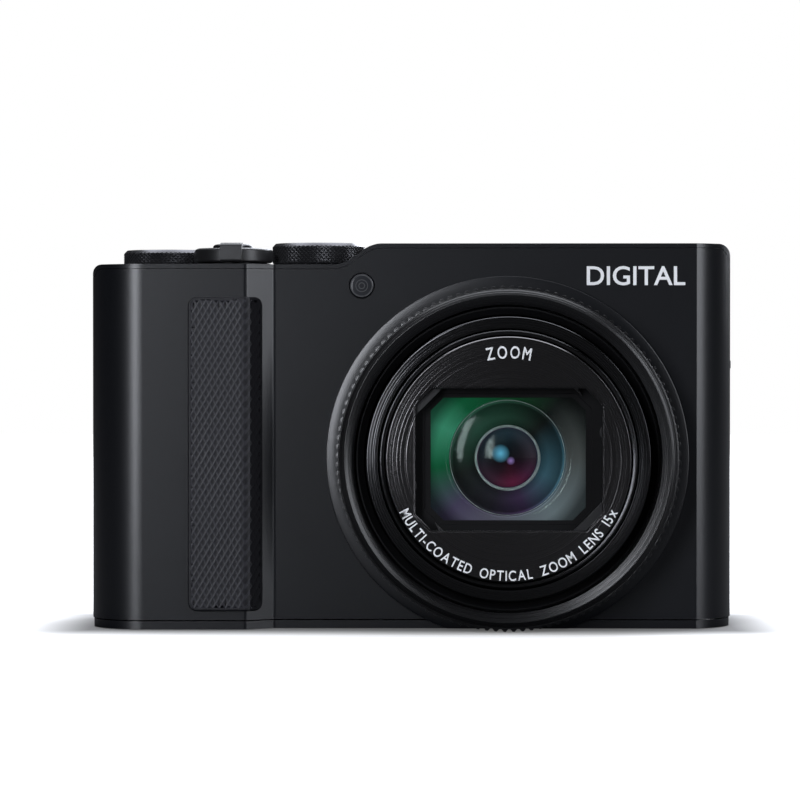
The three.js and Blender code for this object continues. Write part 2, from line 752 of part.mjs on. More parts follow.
function lensCell() {
  return turned([
    [innerGlassRadius + seam, cellFront + 1.6], [leafRadius - 1, cellFront], [leafRadius, cellFront],
    [leafRadius, cellBack], [apertureRadius, cellBack], [apertureRadius, cellBack - 1],
    [innerGlassRadius + seam, cellBack - 1],
  ], "y", roundSegments);
}

function innerElement() {
  const y1 = cellBack - 1 - seam;
  const vertex = cellFront + 1.4;
  return turned([
    [0, vertex], [innerGlassRadius / 2, vertex + 0.3], [innerGlassRadius, vertex + 1.2],
    [innerGlassRadius, y1], [0, y1],
  ], "y", dialSegments);
}

// ---- Top controls: each stands on its own axis, at its own height ----

function zoomLever() {
  const [foot, seat] = [deckZ - 2.6, deckZ + 0.9];
  const [stemHole, cup] = [shutterStemRadius + play, shutterRadius + play];
  const bevel = 0.4;
  const ring = turned([
    [stemHole, foot], [leverHubRadius, foot], [leverHubRadius, leverRingBottom],
    [leverRadius - bevel, leverRingBottom], [leverRadius, leverRingBottom + bevel],
    [leverRadius, leverRingTop - bevel], [leverRadius - bevel, leverRingTop],
    [cup, leverRingTop], [cup, seat], [stemHole, seat],
  ], "z", dialSegments);
  const half = leverTabWidth / 2;
  const [tabFront, tabBack] = [-leverRadius - leverTabReach, -shutterRadius - 1.6];
  return ring.add(box(-half, half, tabFront, tabBack, leverRingBottom, leverRingTop + leverTabRise));
}

function shutterButton() {
  const top = leverRingTop + shutterProud;
  return turned([
    [0, deckZ - 3.2], [shutterStemRadius, deckZ - 3.2], [shutterStemRadius, top - 1.4],
    [shutterRadius, top - 1.4], [shutterRadius, top - 0.3], [shutterRadius - 0.5, top], [0, top],
  ], "z", smallSegments);
}

function dial(radius, rise) {
  const [low, top] = [deckZ + dialFloat, deckZ + rise];
  return turned([
    [0, deckZ - dialShaftLength], [dialShaftRadius, deckZ - dialShaftLength], [dialShaftRadius, low],
    [radius, low], [radius, top - 0.4], [radius - 0.4, top], [0, top],
  ], "z", dialSegments);
}

function movieButton() {
  const [top, flange] = [deckZ + 0.5, deckZ - coverThickness - 0.4];
  return turned([
    [0, flange - 0.8], [movieRadius + buttonFlange, flange - 0.8], [movieRadius + buttonFlange, flange],
    [movieRadius, flange], [movieRadius, top], [0, top],
  ], "z", smallSegments);
}

function powerSwitch() {
  const { length, width, rise } = switchKnob;
  const knob = box(-length / 2, length / 2, -width / 2, width / 2, deckZ + dialFloat, deckZ + rise);
  const [a, b] = [switchStem.length / 2, switchStem.width / 2];
  return knob.add(box(-a, a, -b, b, deckZ - 2.5, deckZ + dialFloat + 0.1));
}

// ---- Flash ----

function flashHead() {
  const barrel = disc(flashPivotRadius, flashLeft, flashRight);
  const hinge = turned(barrel, "x", smallSegments, [0, flashPivotY, flashPivotZ]);
  const lid = box(flashLeft, flashRight, flashFrontY, flashPivotY, flashLidBottom, bodyHeight);
  const [x0, x1] = [flashLeft + flashLamp.inset, flashRight - flashLamp.inset];
  const lamp = box(x0, x1, lampBoxFront, flashPivotY - flashLamp.back, lampBoxBottom, flashLidBottom + 0.1);
  return lid.add(hinge).add(lamp);
}

function flashWindow() {
  const [edge, rim] = [flashLamp.inset * 2, 0.6];
  const y1 = lampBoxFront - seam;
  const y0 = y1 - flashWindowThickness;
  return box(flashLeft + edge, flashRight - edge, y0, y1, lampBoxBottom + rim, flashLidBottom - rim);
}

function flashTray() {
  const t = flashTrayWall;
  const [x0, x1, y0, y1] = [flashLeft - play, flashRight + play, flashHoleFront - 0.1, flashHoleBack + 0.1];
  const top = bodyHeight - coverThickness - seam;
  const floor = top - flashTrayDepth + t;
  return box(x0 - t, x1 + t, y0 - t, y1 + t, floor - t, top).subtract(box(x0, x1, y0, y1, floor, top + 1));
}

// ---- Back ----

function screenGlass() {
  const outline = roundedRectangle(screenLeft, screenRight, screenFromBase, screenTop, screenCorner);
  return prism(outline, "y", glassFront - screenGlassThickness, glassFront);
}

function lcdPanel() {
  const [x0, x1] = [screenLeft + lcdMargin, screenRight - lcdMargin];
  return box(x0, x1, lcdFront, lcdBack, screenFromBase + 1, screenTop - 1);
}

function finderOpening(grow, from, to) {
  const { width, height, corner } = finderWindow;
  const [a, b] = [width / 2 + grow, height / 2 + grow];
  const outline = roundedRectangle(finderX - a, finderX + a, finderZ - b, finderZ + b, corner + grow);
  return prism(outline, "y", from, to);
}

function finderBlock() {
  const y0 = finderBack - finderDepth;
  const outline = roundedRectangle(finderLeft, finderRight, finderBottom, finderTop, 1.0);
  const recess = finderOpening(0, finderBack - finderWindow.depth, finderBack + 1);
  return prism(outline, "y", y0, finderBack).subtract(recess);
}

function eyeLens() {
  const y1 = finderBack - 3.0;
  return finderOpening(-seam, y1 - eyeLensThickness, y1);
}

function eyecup() {
  const m = eyecupMargin;
  const outline = roundedRectangle(finderLeft + m, finderRight - m, finderBottom + m, finderTop - m, 2.0);
  const hole = finderOpening(0.4, finderBack, eyecupBack + 1);
  return prism(outline, "y", finderBack + seam, eyecupBack).subtract(hole);
}

function diopterDial() {
  const half = diopterWidth / 2;
  return turned(disc(diopterRadius, -half, half), "z", smallSegments);
}

function fourWayPad() {
  const inner = setRadius + 0.4;
  return turned([
    [inner, padFront], [padRadius, padFront], [padRadius, padBack - 0.3], [padRadius - 0.5, padBack],
    [inner, padBack],
  ], "y", dialSegments);
}

function padCarrier() {
  return turned(hoop(2.2, carrierRadius, carrierFront, carrierBack), "y", smallSegments);
}

function setButton() {
  const stem = 1.5;
  return turned([
    [0, carrierFront - 0.6], [stem, carrierFront - 0.6], [stem, padFront], [setRadius, padFront],
    [setRadius, padBack], [setRadius - 0.3, padBack + 0.2], [0, padBack + 0.2],
  ], "y", smallSegments);
}

function smallButton() {
  const flange = buttonRadius + buttonFlange;
  return turned([
    [0, buttonFlangeBack - 0.7], [flange, buttonFlangeBack - 0.7], [flange, buttonFlangeBack],
    [buttonRadius, buttonFlangeBack], [buttonRadius, buttonBack - 0.2], [buttonRadius - 0.3, buttonBack],
    [0, buttonBack],
  ], "y", smallSegments);
}

// ---- Inside ----

function chassis() {
  const top = finderBottom - 1.2;
  const plate = box(left + boardMargin, right - 4, chassisFront, chassisBack, 3, top);
  const hole = box(-9, 9, chassisFront - 1, chassisBack + 1, -8, 8);
  return plate.subtract(hole.translate([lensX, 0, lensHeight]));
}

function mainBoard() {
  const board = box(left + boardMargin, right - 4, boardFront, boardBack, 4, finderBottom - 1.6);
  const stack = box(left + 3.2, screenLeft - 1.4, boardBack - 0.1, switchBoardBack, 5, 58);
  return board.add(stack);
}

function battery() {
  const half = batteryDepth / 2;
  const z0 = bayBottom + 0.2;
  const outline = roundedRectangle(batteryLeft, batteryRight, batteryY - half, batteryY + half, 2.0);
  return prism(outline, "z", z0, z0 + batteryHeight);
}

function batteryBay() {
  const w = bayWall;
  const outer = box(bayLeft, bayRight, bayFront, bayBack, bayBottom, bayTop);
  return outer.subtract(box(bayLeft + w, bayRight - w, bayFront + w, bayBack - w, bayBottom - 1, bayTop - w));
}

function batteryDoor() {
  const [z0, z1] = [doorPivotZ - doorPivotRadius, doorPivotZ + doorPivotRadius];
  const plate = box(doorLeft, doorRight, doorPivotY, doorFree, z0, z1);
  const barrel = disc(doorPivotRadius, doorLeft, doorRight);
  const knuckle = turned(barrel, "x", smallSegments, [0, doorPivotY, doorPivotZ]);
  const [a, b] = [latch.length / 2 + play, latch.width / 2 + play];
  const slot = box(latchX - a, latchX + a, latchY - b - latch.travel, latchY + b, z0 - 1, z1 + 1);
  return plate.add(knuckle).subtract(slot);
}

function doorLatch() {
  const [a, b] = [latch.length / 2, latch.width / 2];
  const z0 = doorPivotZ - doorPivotRadius;
  const z1 = z0 + doorThickness;
  const knob = box(-a, a, -b, b, z0, z1);
  const neck = box(1 - a, a - 1, 0.4 - b, b - 0.4, z0 + 0.4, z1 + 0.5);
  const flange = box(-a - 0.8, a + 0.8, -b - 0.6, b + 0.6, z1 + play, z1 + play + 0.5);
  return knob.add(neck).add(flange);
}

function portCover() {
  const { bottom, height, thickness } = portDoor;
  const [half, top] = [thickness / 2, bottom + height];
  const plate = box(portPivotX - half, portPivotX + half, portY, portPivotY, bottom, top);
  return plate.add(turned(disc(half, bottom, top), "z", smallSegments, [portPivotX, portPivotY, 0]));
}

// Two sockets on one small board, open towards the side of the body.
function portSockets() {
  const x0 = left + portDoor.thickness + 0.6;
  const x1 = x0 + portBoard.depth;
  const y1 = portPivotY - 2.4;
  const [low, high] = [portDoor.bottom + 1, portDoor.bottom + portDoor.height - 1];
  const plate = box(x0 + 0.4, x1, y1, y1 + portBoard.thickness, low, high);
  return sockets.reduce((solid, { bottom, height }) => {
    const [z0, z1] = [portDoor.bottom + bottom, portDoor.bottom + bottom + height];
    const y0 = y1 - portBoard.socketDepth;
    const shell = box(x0, x1, y0, y1 + 0.1, z0, z1);
    return solid.add(shell).subtract(box(x0 - 1, x1 - 0.6, y0 + 0.4, y1 - 0.3, z0 + 0.4, z1 - 0.4));
  }, plate);
}

function tripodBush() {
  return turned([
    [bushHoleRadius, 0.05], [bushRadius, 0.05], [bushRadius, bushHeight], [0, bushHeight],
    [0, bushHeight - bushFloor], [bushHoleRadius, bushHeight - bushFloor],
  ], "z", dialSegments);
}

// ---- Materials ----

function finish(color, roughness, metalness = 0) {
  return new THREE.MeshStandardMaterial({ color, roughness, metalness });
}

const paintedMetal = finish(0x232529, 0.42, 0.3);
const darkMetal = finish(0x17181b, 0.35, 0.6);
const knurledMetal = finish(0x141416, 0.3, 0.8);
const barrelPlastic = finish(0x1d1e20, 0.45);
const rubber = finish(0x2a2a2e, 0.8);
const blackPlastic = finish(0x101113, 0.5);
const glossBlack = finish(0x08090b, 0.1);
const coatedGlass = finish(0x1c3a34, 0.03);
const clearGlass = finish(0xb8bcc0, 0.08);
const steel = finish(0x9a9ca0, 0.35, 0.9);
const circuitBoard = finish(0x1c4a33, 0.6);
const batteryCase = finish(0x3a3c40, 0.6);
const recordRed = finish(0x8c1a16, 0.4);

// ---- Assembly ----

const camera = new THREE.Group();
camera.name = "compact_camera";

function add(parent, name, solid, material, position = [0, 0, 0]) {
  const mesh = new THREE.Mesh(geometryOf(solid), material);
  mesh.name = name;
  mesh.position.set(...position);
  parent.add(mesh);
}

add(camera, "front_shell", frontShell(), paintedMetal);
add(camera, "rear_shell", rearShell(), paintedMetal);
add(camera, "top_cover", topCover(), paintedMetal);
add(camera, "base_plate", basePlate(), paintedMetal);
add(camera, "grip_pad", gripStrip(), rubber);
add(camera, "thumb_rest", thumbPad(), rubber);
add(camera, "strap_lug_left", strapLug(-1), steel);
add(camera, "strap_lug_right", strapLug(1), steel);
add(camera, "assist_lamp", assistLamp(), clearGlass, [lampX, front, lampZ]);

const lens = new THREE.Group();
lens.name = "lens";
lens.position.set(lensX, 0, lensHeight);
camera.add(lens);
add(lens, "lens_flange", lensFlange(), paintedMetal);
add(lens, "lens_sleeve", lensSleeve(), barrelPlastic);
add(lens, "lens_base", lensBase(), blackPlastic);
add(lens, "image_sensor", imageSensor(), glossBlack);
add(lens, "control_ring", controlRing(), knurledMetal);
add(lens, "outer_barrel", outerBarrel(), barrelPlastic);
add(lens, "middle_barrel", middleBarrel(), barrelPlastic);
add(lens, "front_barrel", frontBarrel(), barrelPlastic);
add(lens, "front_plate", frontPlate(), darkMetal);
const opposite = ({ side, swing }) => ({ side: side + 180, swing });
add(lens, "barrier_leaf_long_left", barrierLeaf(longLeaf, 0), blackPlastic);
add(lens, "barrier_leaf_long_right", barrierLeaf(opposite(longLeaf), 1), blackPlastic);
add(lens, "barrier_leaf_short_left", barrierLeaf(shortLeaf, 2), blackPlastic);
add(lens, "barrier_leaf_short_right", barrierLeaf(opposite(shortLeaf), 3), blackPlastic);
add(lens, "light_baffle", lightBaffle(), blackPlastic);
add(lens, "front_element", frontElement(), coatedGlass);
add(lens, "lens_cell", lensCell(), blackPlastic);
add(lens, "inner_element", innerElement(), coatedGlass);
const motorReach = sleeveOuter + motorRadius + seam * 3;
const motorTurn = (motorAngle * PI) / 180;
const [motorX, motorZ] = [motorReach * cos(motorTurn), motorReach * sin(motorTurn)];
add(lens, "zoom_motor", zoomMotor(), steel, [motorX, lensBaseFront - motorFromBase, motorZ]);

const controls = new THREE.Group();
controls.name = "top_controls";
camera.add(controls);
add(controls, "zoom_lever", zoomLever(), blackPlastic, [leverX, leverY, 0]);
add(controls, "shutter_button", shutterButton(), darkMetal, [leverX, leverY, 0]);
add(controls, "mode_dial", dial(modeDialRadius, modeDialRise), knurledMetal, [modeDialX, modeDialY, 0]);
add(controls, "rear_dial", dial(rearDialRadius, rearDialRise), knurledMetal, [rearDialX, rearDialY, 0]);
add(controls, "movie_button", movieButton(), recordRed, [movieX, movieY, 0]);
add(controls, "power_switch", powerSwitch(), blackPlastic, [switchX, switchY, 0]);

add(camera, "flash_head", flashHead(), paintedMetal);
add(camera, "flash_window", flashWindow(), clearGlass);
add(camera, "flash_tray", flashTray(), blackPlastic);

add(camera, "screen_glass", screenGlass(), glossBlack);
add(camera, "lcd_panel", lcdPanel(), steel);
add(camera, "finder_block", finderBlock(), blackPlastic);
add(camera, "eyepiece_lens", eyeLens(), clearGlass);
add(camera, "eyecup", eyecup(), rubber);
add(camera, "diopter_dial", diopterDial(), blackPlastic, [diopterX, diopterY, finderZ]);
add(camera, "pad_carrier", padCarrier(), blackPlastic, [padX, 0, padHeight]);
add(camera, "four_way_pad", fourWayPad(), darkMetal, [padX, 0, padHeight]);
add(camera, "set_button", setButton(), darkMetal, [padX, 0, padHeight]);
for (const { name, x, z } of buttons) add(camera, name, smallButton(), blackPlastic, [x, 0, z]);

add(camera, "chassis", chassis(), steel);
add(camera, "main_board", mainBoard(), circuitBoard);
add(camera, "battery", battery(), batteryCase);
add(camera, "battery_bay", batteryBay(), blackPlastic);
add(camera, "battery_door", batteryDoor(), paintedMetal);
add(camera, "door_latch", doorLatch(), blackPlastic, [latchX, latchY, 0]);
add(camera, "port_door", portCover(), blackPlastic);
add(camera, "port_sockets", portSockets(), steel);
add(camera, "tripod_bush", tripodBush(), steel, [bushX, bushY, 0]);

export default camera;
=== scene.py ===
"""Looks of a compact digital camera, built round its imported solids."""

from math import atan2, cos, pi, radians, sin, tan

import bmesh
import bpy
from bpy.props import FloatProperty, FloatVectorProperty, IntProperty, PointerProperty
from mathutils import Matrix, Vector


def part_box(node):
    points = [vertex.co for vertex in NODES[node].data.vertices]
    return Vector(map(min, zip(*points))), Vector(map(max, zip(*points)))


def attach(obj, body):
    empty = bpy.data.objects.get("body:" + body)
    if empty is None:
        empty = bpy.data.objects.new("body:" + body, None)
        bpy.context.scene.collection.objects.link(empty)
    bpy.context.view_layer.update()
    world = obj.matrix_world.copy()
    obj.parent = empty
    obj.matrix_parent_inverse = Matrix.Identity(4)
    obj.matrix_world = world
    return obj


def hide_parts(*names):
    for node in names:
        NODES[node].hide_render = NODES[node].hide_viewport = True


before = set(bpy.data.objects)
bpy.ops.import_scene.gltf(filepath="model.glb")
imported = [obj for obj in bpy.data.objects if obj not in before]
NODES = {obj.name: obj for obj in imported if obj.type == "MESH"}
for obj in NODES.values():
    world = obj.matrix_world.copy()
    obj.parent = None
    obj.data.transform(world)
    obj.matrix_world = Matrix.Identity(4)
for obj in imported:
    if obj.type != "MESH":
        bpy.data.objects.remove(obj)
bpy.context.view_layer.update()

bl_info = {
    "name": "Compact Camera",
    "version": (1, 0, 0),
    "blender": (4, 5, 0),
    "location": "View3D > Sidebar > Camera",
    "description": "Builds a compact camera's casing, lens, controls and stage round its solids",
    "category": "Object",
}

MM = 0.001
WELD = 1e-6


# ---- Places, in millimetres ----

def low(node):
    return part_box(node)[0] / MM


def high(node):
    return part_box(node)[1] / MM


def middle(node):
    return (low(node) + high(node)) / 2


def ends(node):
    """A node's front and rear Y."""
    return low(node).y, high(node).y


def ground(node):
    """A node's middle on the XY plane."""
    centre = middle(node)
    return centre.x, centre.y, 0


def lens_radius(node):
    return high(node).x - LENS.x


def deck_level(context):
    return HUMP - context.scene.camera_casing.deck_drop / MM


LEFT, RIGHT = low("front_shell").x, high("front_shell").x
GRIP_FACE = low("front_shell").y
BACK = high("rear_shell").y
HUMP = high("top_cover").z
SHELL_FOOT = low("front_shell").z
SPLIT_FRONT, SPLIT_BACK = high("front_shell").y, low("rear_shell").y
LENS = middle("front_barrel")
FLANGE_BACK = high("lens_flange").y
SEAM = 0.2
HAIRLINE = 0.07


# ---- Settings ----

def length(name, description, default):
    return FloatProperty(name=name, description=description, default=default * MM, unit="LENGTH", precision=5)


def colour(name, description, default):
    return FloatVectorProperty(
        name=name, description=description, default=default, size=4, min=0.0, max=1.0, subtype="COLOR")


class CasingSizes(bpy.types.PropertyGroup):
    """Sizes of the casing."""
    grip_rise: length("Grip rise", "Grip face ahead of the front panel", 3.2)
    grip_width: length("Grip width", "Left side to the edge of the grip face", 27.2)
    slope_run: length("Slope run", "Width of the slope from the grip face to the front panel", 4.65)
    front_corner: length("Front corner", "Radius of the left front corner", 9.5)
    back_corner: length("Back corner", "Radius of both back corners", 5.0)
    side_crease: length("Side crease", "Front panel's edge to the right side", 6.5)
    side_turn: FloatProperty(
        name="Side turn", description="Angle at the crease", default=radians(22), subtype="ANGLE")
    deck_drop: length("Deck drop", "Deck below the hump", 3.6)
    hump_start: length("Hump start", "Foot of the slope from the deck, left of the middle", 11.64)
    hump_run: length("Hump run", "Width of the slope from the deck to the hump", 4.8)
    wall: length("Wall", "Thickness of the casing", 1.2)
    cover: length("Cover", "Thickness of the top cover", 0.75)
    edge: length("Edge", "Rounding of the casing's edges", 0.3)


class LensSizes(bpy.types.PropertyGroup):
    """Sizes of the lens."""
    ribs: IntProperty(name="Ribs", description="Ribs round the control ring", default=120, min=24, max=240)
    rib_height: length("Rib height", "Height of the control ring's ribs", 0.45)
    window_width: length("Window width", "Width of the window in the front plate", 31.5)
    window_height: length("Window height", "Height of the window in the front plate", 24.0)
    window_cut: length("Window cut", "Cut-off corners of the window", 2.8)
    letter_height: length("Letter height", "Height of the letters round the window", 1.75)


class ControlSizes(bpy.types.PropertyGroup):
    """Sizes of the knurls and the grip's pattern."""
    knurl_pitch: length("Knurl pitch", "Distance between the knurl's points round a dial", 0.8)
    knurl_depth: length("Knurl depth", "Height of the knurl's points", 0.15)
    rhomb_width: length("Rhomb width", "Width of a rhomb in the rubber", 1.1)
    rhomb_height: length("Rhomb height", "Height of a rhomb in the rubber", 1.9)
    rhomb_ridge: length("Rhomb ridge", "Height of the lines between the rhombs", 0.035)


class FinishColours(bpy.types.PropertyGroup):
    """Colours of the main finishes."""
    paint: colour("Paint", "Satin paint of the casing", (0.002, 0.0024, 0.0038, 1))
    rubber: colour("Rubber", "Rubber of the grip", (0.0058, 0.0058, 0.0076, 1))
    plastic: colour("Plastic", "Lens tubes and buttons", (0.006, 0.0061, 0.0068, 1))
    ink: colour("Ink", "Printed letters and marks", (0.72, 0.73, 0.74, 1))


# ---- Shapes ----

AXES = {
    "x": Matrix(((0, 0, 1, 0), (1, 0, 0, 0), (0, 1, 0, 0), (0, 0, 0, 1))),
    "y": Matrix(((1, 0, 0, 0), (0, 0, -1, 0), (0, 1, 0, 0), (0, 0, 0, 1))),
    "z": Matrix.Identity(4),
}
SPINS = {"x": Matrix.Rotation(pi / 2, 4, "Y"), "y": Matrix.Rotation(-pi / 2, 4, "X"), "z": Matrix.Identity(4)}


def new_verts(made):
    return [part for part in made["geom"] if isinstance(part, bmesh.types.BMVert)]


def outward(bm):
    bmesh.ops.remove_doubles(bm, verts=bm.verts[:], dist=WELD)
    bmesh.ops.recalc_face_normals(bm, faces=bm.faces[:])
    return bm


def flat(points, segments=12):
    """A flat face from (a, b, radius) corners, the radius rounding its corner."""
    bm = bmesh.new()
    verts = [bm.verts.new((a * MM, b * MM, 0)) for a, b, _ in points]
    bm.faces.new(verts)
    corners = [Vector(point[:2]) for point in points]
    for i, (vert, point) in enumerate(zip(verts, points)):
        if not point[2]:
            continue
        before, after = corners[i - 1] - corners[i], corners[(i + 1) % len(points)] - corners[i]
        reach = point[2] / tan(before.angle(after) / 2)
        bmesh.ops.bevel(
            bm, geom=[vert], offset=reach * MM, offset_type="OFFSET", affect="VERTICES", segments=segments,
            profile=0.5, material=-1, clamp_overlap=False)
    bmesh.ops.remove_doubles(bm, verts=bm.verts[:], dist=WELD)
    return bm


def slab(points, axis, start, end, segments=12):
    """A flat face thickened along an axis. Points lie in YZ for x, in XZ for y and in XY for z."""
    bm = flat(points, segments)
    raised = new_verts(bmesh.ops.extrude_face_region(bm, geom=bm.faces[:]))
    bmesh.ops.translate(bm, vec=(0, 0, (end - start) * MM), verts=raised)
    place = {"x": (start, 0, 0), "y": (0, end, 0), "z": (0, 0, start)}[axis]
    bmesh.ops.transform(bm, matrix=Matrix.Translation(Vector(place) * MM) @ AXES[axis], verts=bm.verts[:])
    return outward(bm)


def rectangle(x0, x1, y0, y1, radius=0.0):
    return [(x0, y0, radius), (x1, y0, radius), (x1, y1, radius), (x0, y1, radius)]


def block(x0, x1, y0, y1, z0, z1):
    return slab(rectangle(x0, x1, y0, y1), "z", z0, z1)


def cut_corners(x, z, width, height, cut):
    a, b = width / 2, height / 2
    corners = [(a - cut, -b), (a, -b + cut), (a, b - cut), (a - cut, b)]
    corners += [(-p, -q) for p, q in corners]
    return [(x + p, z + q, 0.0) for p, q in corners]


def turned(profile, axis, place, segments=128):
    """A profile of (radius, height) points spun about an axis through a place."""
    bm = bmesh.new()
    verts = [bm.verts.new((r * MM, 0, h * MM)) for r, h in profile]
    edges = [bm.edges.new(pair) for pair in zip(verts, verts[1:])]
    if profile[0][0] > 0:
        edges.append(bm.edges.new((verts[-1], verts[0])))
    bmesh.ops.spin(
        bm, geom=verts + edges, cent=(0, 0, 0), axis=(0, 0, 1), angle=2 * pi, steps=segments, use_merge=True)
    centre = Matrix.Translation(Vector(place) * MM)
    bmesh.ops.transform(bm, matrix=centre @ SPINS[axis], verts=bm.verts[:])
    return outward(bm)


def lens_turned(profile, segments=160):
    return turned(profile, "y", (LENS.x, 0, LENS.z), segments)


def rod(radius, axis, start, end, place, segments=48):
    return turned([(0, start), (radius, start), (radius, end), (0, end)], axis, place, segments)


def joined(*parts):
    """Several closed shapes in one mesh."""
    whole = parts[0]
    for part in parts[1:]:
        mesh = bpy.data.meshes.new("part")
        part.to_mesh(mesh)
        part.free()
        whole.from_mesh(mesh)
        bpy.data.meshes.remove(mesh)
    return whole


def as_object(name, bm):
    mesh = bpy.data.meshes.new(name)
    bm.to_mesh(mesh)
    bm.free()
    piece = bpy.data.objects.new(name, mesh)
    bpy.context.scene.collection.objects.link(piece)
    return piece


def combined(shape, *tools, operation="DIFFERENCE"):
    """A shape with other shapes cut from it, or kept in common with it."""
    piece = as_object("work", shape)
    for tool in tools:
        cutter = as_object("tool", tool)
        change = piece.modifiers.new("cut", "BOOLEAN")
        change.operation = operation
        change.solver = "EXACT"
        change.object = cutter
        graph = bpy.context.evaluated_depsgraph_get()
        result = bpy.data.meshes.new_from_object(piece.evaluated_get(graph))
        piece.modifiers.clear()
        old = piece.data
        piece.data = result
        bpy.data.meshes.remove(old)
        bpy.data.objects.remove(cutter)
    bm = bmesh.new()
    bm.from_mesh(piece.data)
    bpy.data.objects.remove(piece)
    bmesh.ops.remove_doubles(bm, verts=bm.verts[:], dist=WELD)
    bmesh.ops.dissolve_degenerate(bm, edges=bm.edges[:], dist=WELD)
    return bm


def common(shape, tool):
    return combined(shape, tool, operation="INTERSECT")


def settle(name, bm, material, body, slot, *replaced, edge=0.0, segments=3, sharp=32):
    """Makes the finished piece with a finish from FINISHES and fixes it to its body."""
    piece = as_object(name, bm)
    piece.data.materials.append(FINISHES[material])
    piece.data.shade_smooth()
    piece.data.set_sharp_from_angle(angle=radians(sharp))
    if edge:
        bevel = piece.modifiers.new("edges", "BEVEL")
        bevel.width = edge * MM
        bevel.segments = segments
        bevel.limit_method = "ANGLE"
        bevel.angle_limit = radians(sharp)
        bevel.harden_normals = True
    smooth = piece.modifiers.new("normals", "WEIGHTED_NORMAL")
    smooth.keep_sharp = True
    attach(piece, body)
    if replaced:
        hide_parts(*replaced)
    return piece


def dress(node, material):
    """A finish for a CAD node that stays as it is."""
    materials = NODES[node].data.materials
    materials.clear()
    materials.append(FINISHES[material])


def refined(node, material, body, slot, edge=0.12):
    """A merged copy of a CAD node with softened edges, which stands for it."""
    bm = bmesh.new()
    bm.from_mesh(NODES[node].data)
    bmesh.ops.remove_doubles(bm, verts=bm.verts[:], dist=WELD)
    bmesh.ops.dissolve_limit(bm, angle_limit=radians(1), verts=bm.verts[:], edges=bm.edges[:])
    settle(node + "_cover", bm, material, body, slot, node, edge=edge, segments=2)


def loop_on(bm, edges, steps):
    """Extrudes a ring of edges about Z through (radius, height) steps, and returns the last ring."""
    for radius, height in steps:
        made = bmesh.ops.extrude_edge_only(bm, edges=edges)
        verts = set(new_verts(made))
        edges = [e for e in made["geom"] if isinstance(e, bmesh.types.BMEdge) and set(e.verts) <= verts]
        was = next(iter(verts)).co
        scale = radius * MM / was.xy.length
        bmesh.ops.scale(bm, vec=(scale, scale, 1), verts=list(verts))
        bmesh.ops.translate(bm, vec=(0, 0, height * MM - was.z), verts=list(verts))
    return edges


def knurled(radius, foot, top, under, over, pitch, depth, rows, place):
    """A dial with a diamond knurl between foot and top, closed by steps under and over it."""
    count = round(2 * pi * radius / pitch)
    bm = bmesh.new()
    bmesh.ops.create_circle(bm, cap_ends=False, radius=(radius - depth) * MM, segments=count)
    bmesh.ops.translate(bm, vec=(0, 0, foot * MM), verts=bm.verts[:])
    first = bm.edges[:]
    step = (top - foot) / rows
    loop_on(bm, first, [(radius - depth, foot + step * (row + 1)) for row in range(rows)])
    bmesh.ops.recalc_face_normals(bm, faces=bm.faces[:])
    if bm.faces[0].normal.dot(bm.faces[0].calc_center_median() * Vector((1, 1, 0))) < 0:
        bmesh.ops.reverse_faces(bm, faces=bm.faces[:])
    grid = [edge for edge in bm.edges if not edge.is_boundary]
    bmesh.ops.poke(bm, faces=bm.faces[:])
    bmesh.ops.dissolve_edges(bm, edges=grid, use_verts=False, use_face_split=False)
    bmesh.ops.poke(bm, faces=bm.faces[:], offset=depth * MM)
    ends = [edge for edge in bm.edges if edge.is_boundary]
    halfway = (foot + top) / 2 * MM
    for steps, high_end in ((under, False), (over, True)):
        ring = [edge for edge in ends if (edge.verts[0].co.z > halfway) == high_end]
        last = loop_on(bm, ring, steps)
        bmesh.ops.contextual_create(bm, geom=last)
    bmesh.ops.translate(bm, vec=Vector(place) * MM, verts=bm.verts[:])
    return outward(bm)


def ribbed_ring(sections, ribs):
    """A ring from (radius, rib radius, height) sections. Half of every pitch stands out as a rib."""
    bm = bmesh.new()
    per_rib = 4
    bmesh.ops.create_circle(bm, cap_ends=False, radius=sections[0][0] * MM, segments=ribs * per_rib)
    standing = bm.verts.layers.int.new("rib")
    for i, vert in enumerate(sorted(bm.verts, key=lambda v: atan2(v.co.y, v.co.x))):
        vert[standing] = int(i % per_rib < 2)
    edges = first = bm.edges[:]
    for radius, rib_radius, height in sections:
        if edges is not first or height != sections[0][2]:
            made = bmesh.ops.extrude_edge_only(bm, edges=edges)
            verts = set(new_verts(made))
            edges = [e for e in made["geom"] if isinstance(e, bmesh.types.BMEdge) and set(e.verts) <= verts]
        else:
            verts = set(bm.verts)
        for chosen, size in ((0, radius), (1, rib_radius)):
            group = [vert for vert in verts if vert[standing] == chosen]
            now = group[0].co
            bmesh.ops.translate(bm, vec=(0, 0, height * MM - now.z), verts=group)
            scale = size * MM / now.xy.length
            bmesh.ops.scale(bm, vec=(scale, scale, 1), verts=group)
    bmesh.ops.bridge_loops(bm, edges=first + edges)
    place = Matrix.Translation(Vector((LENS.x, 0, LENS.z)) * MM)
    bmesh.ops.transform(bm, matrix=place @ SPINS["y"], verts=bm.verts[:])
    return outward(bm)


def letters(text, size, thickness):
    """Raised letters in a mesh, along +X from the origin and facing +Z."""
    curve = bpy.data.curves.new("letters", "FONT")
    curve.body = text
    curve.size = size * MM
    curve.extrude = thickness * MM
    curve.offset = 0.012 * size * MM
    curve.resolution_u = 4
    curve.align_x = "CENTER"
    source = bpy.data.objects.new("letters", curve)
    bpy.context.scene.collection.objects.link(source)
    graph = bpy.context.evaluated_depsgraph_get()
    mesh = bpy.data.meshes.new_from_object(source.evaluated_get(graph))
    bpy.data.objects.remove(source)
    bm = bmesh.new()
    bm.from_mesh(mesh)
    bpy.data.meshes.remove(mesh)
    return outward(bm)


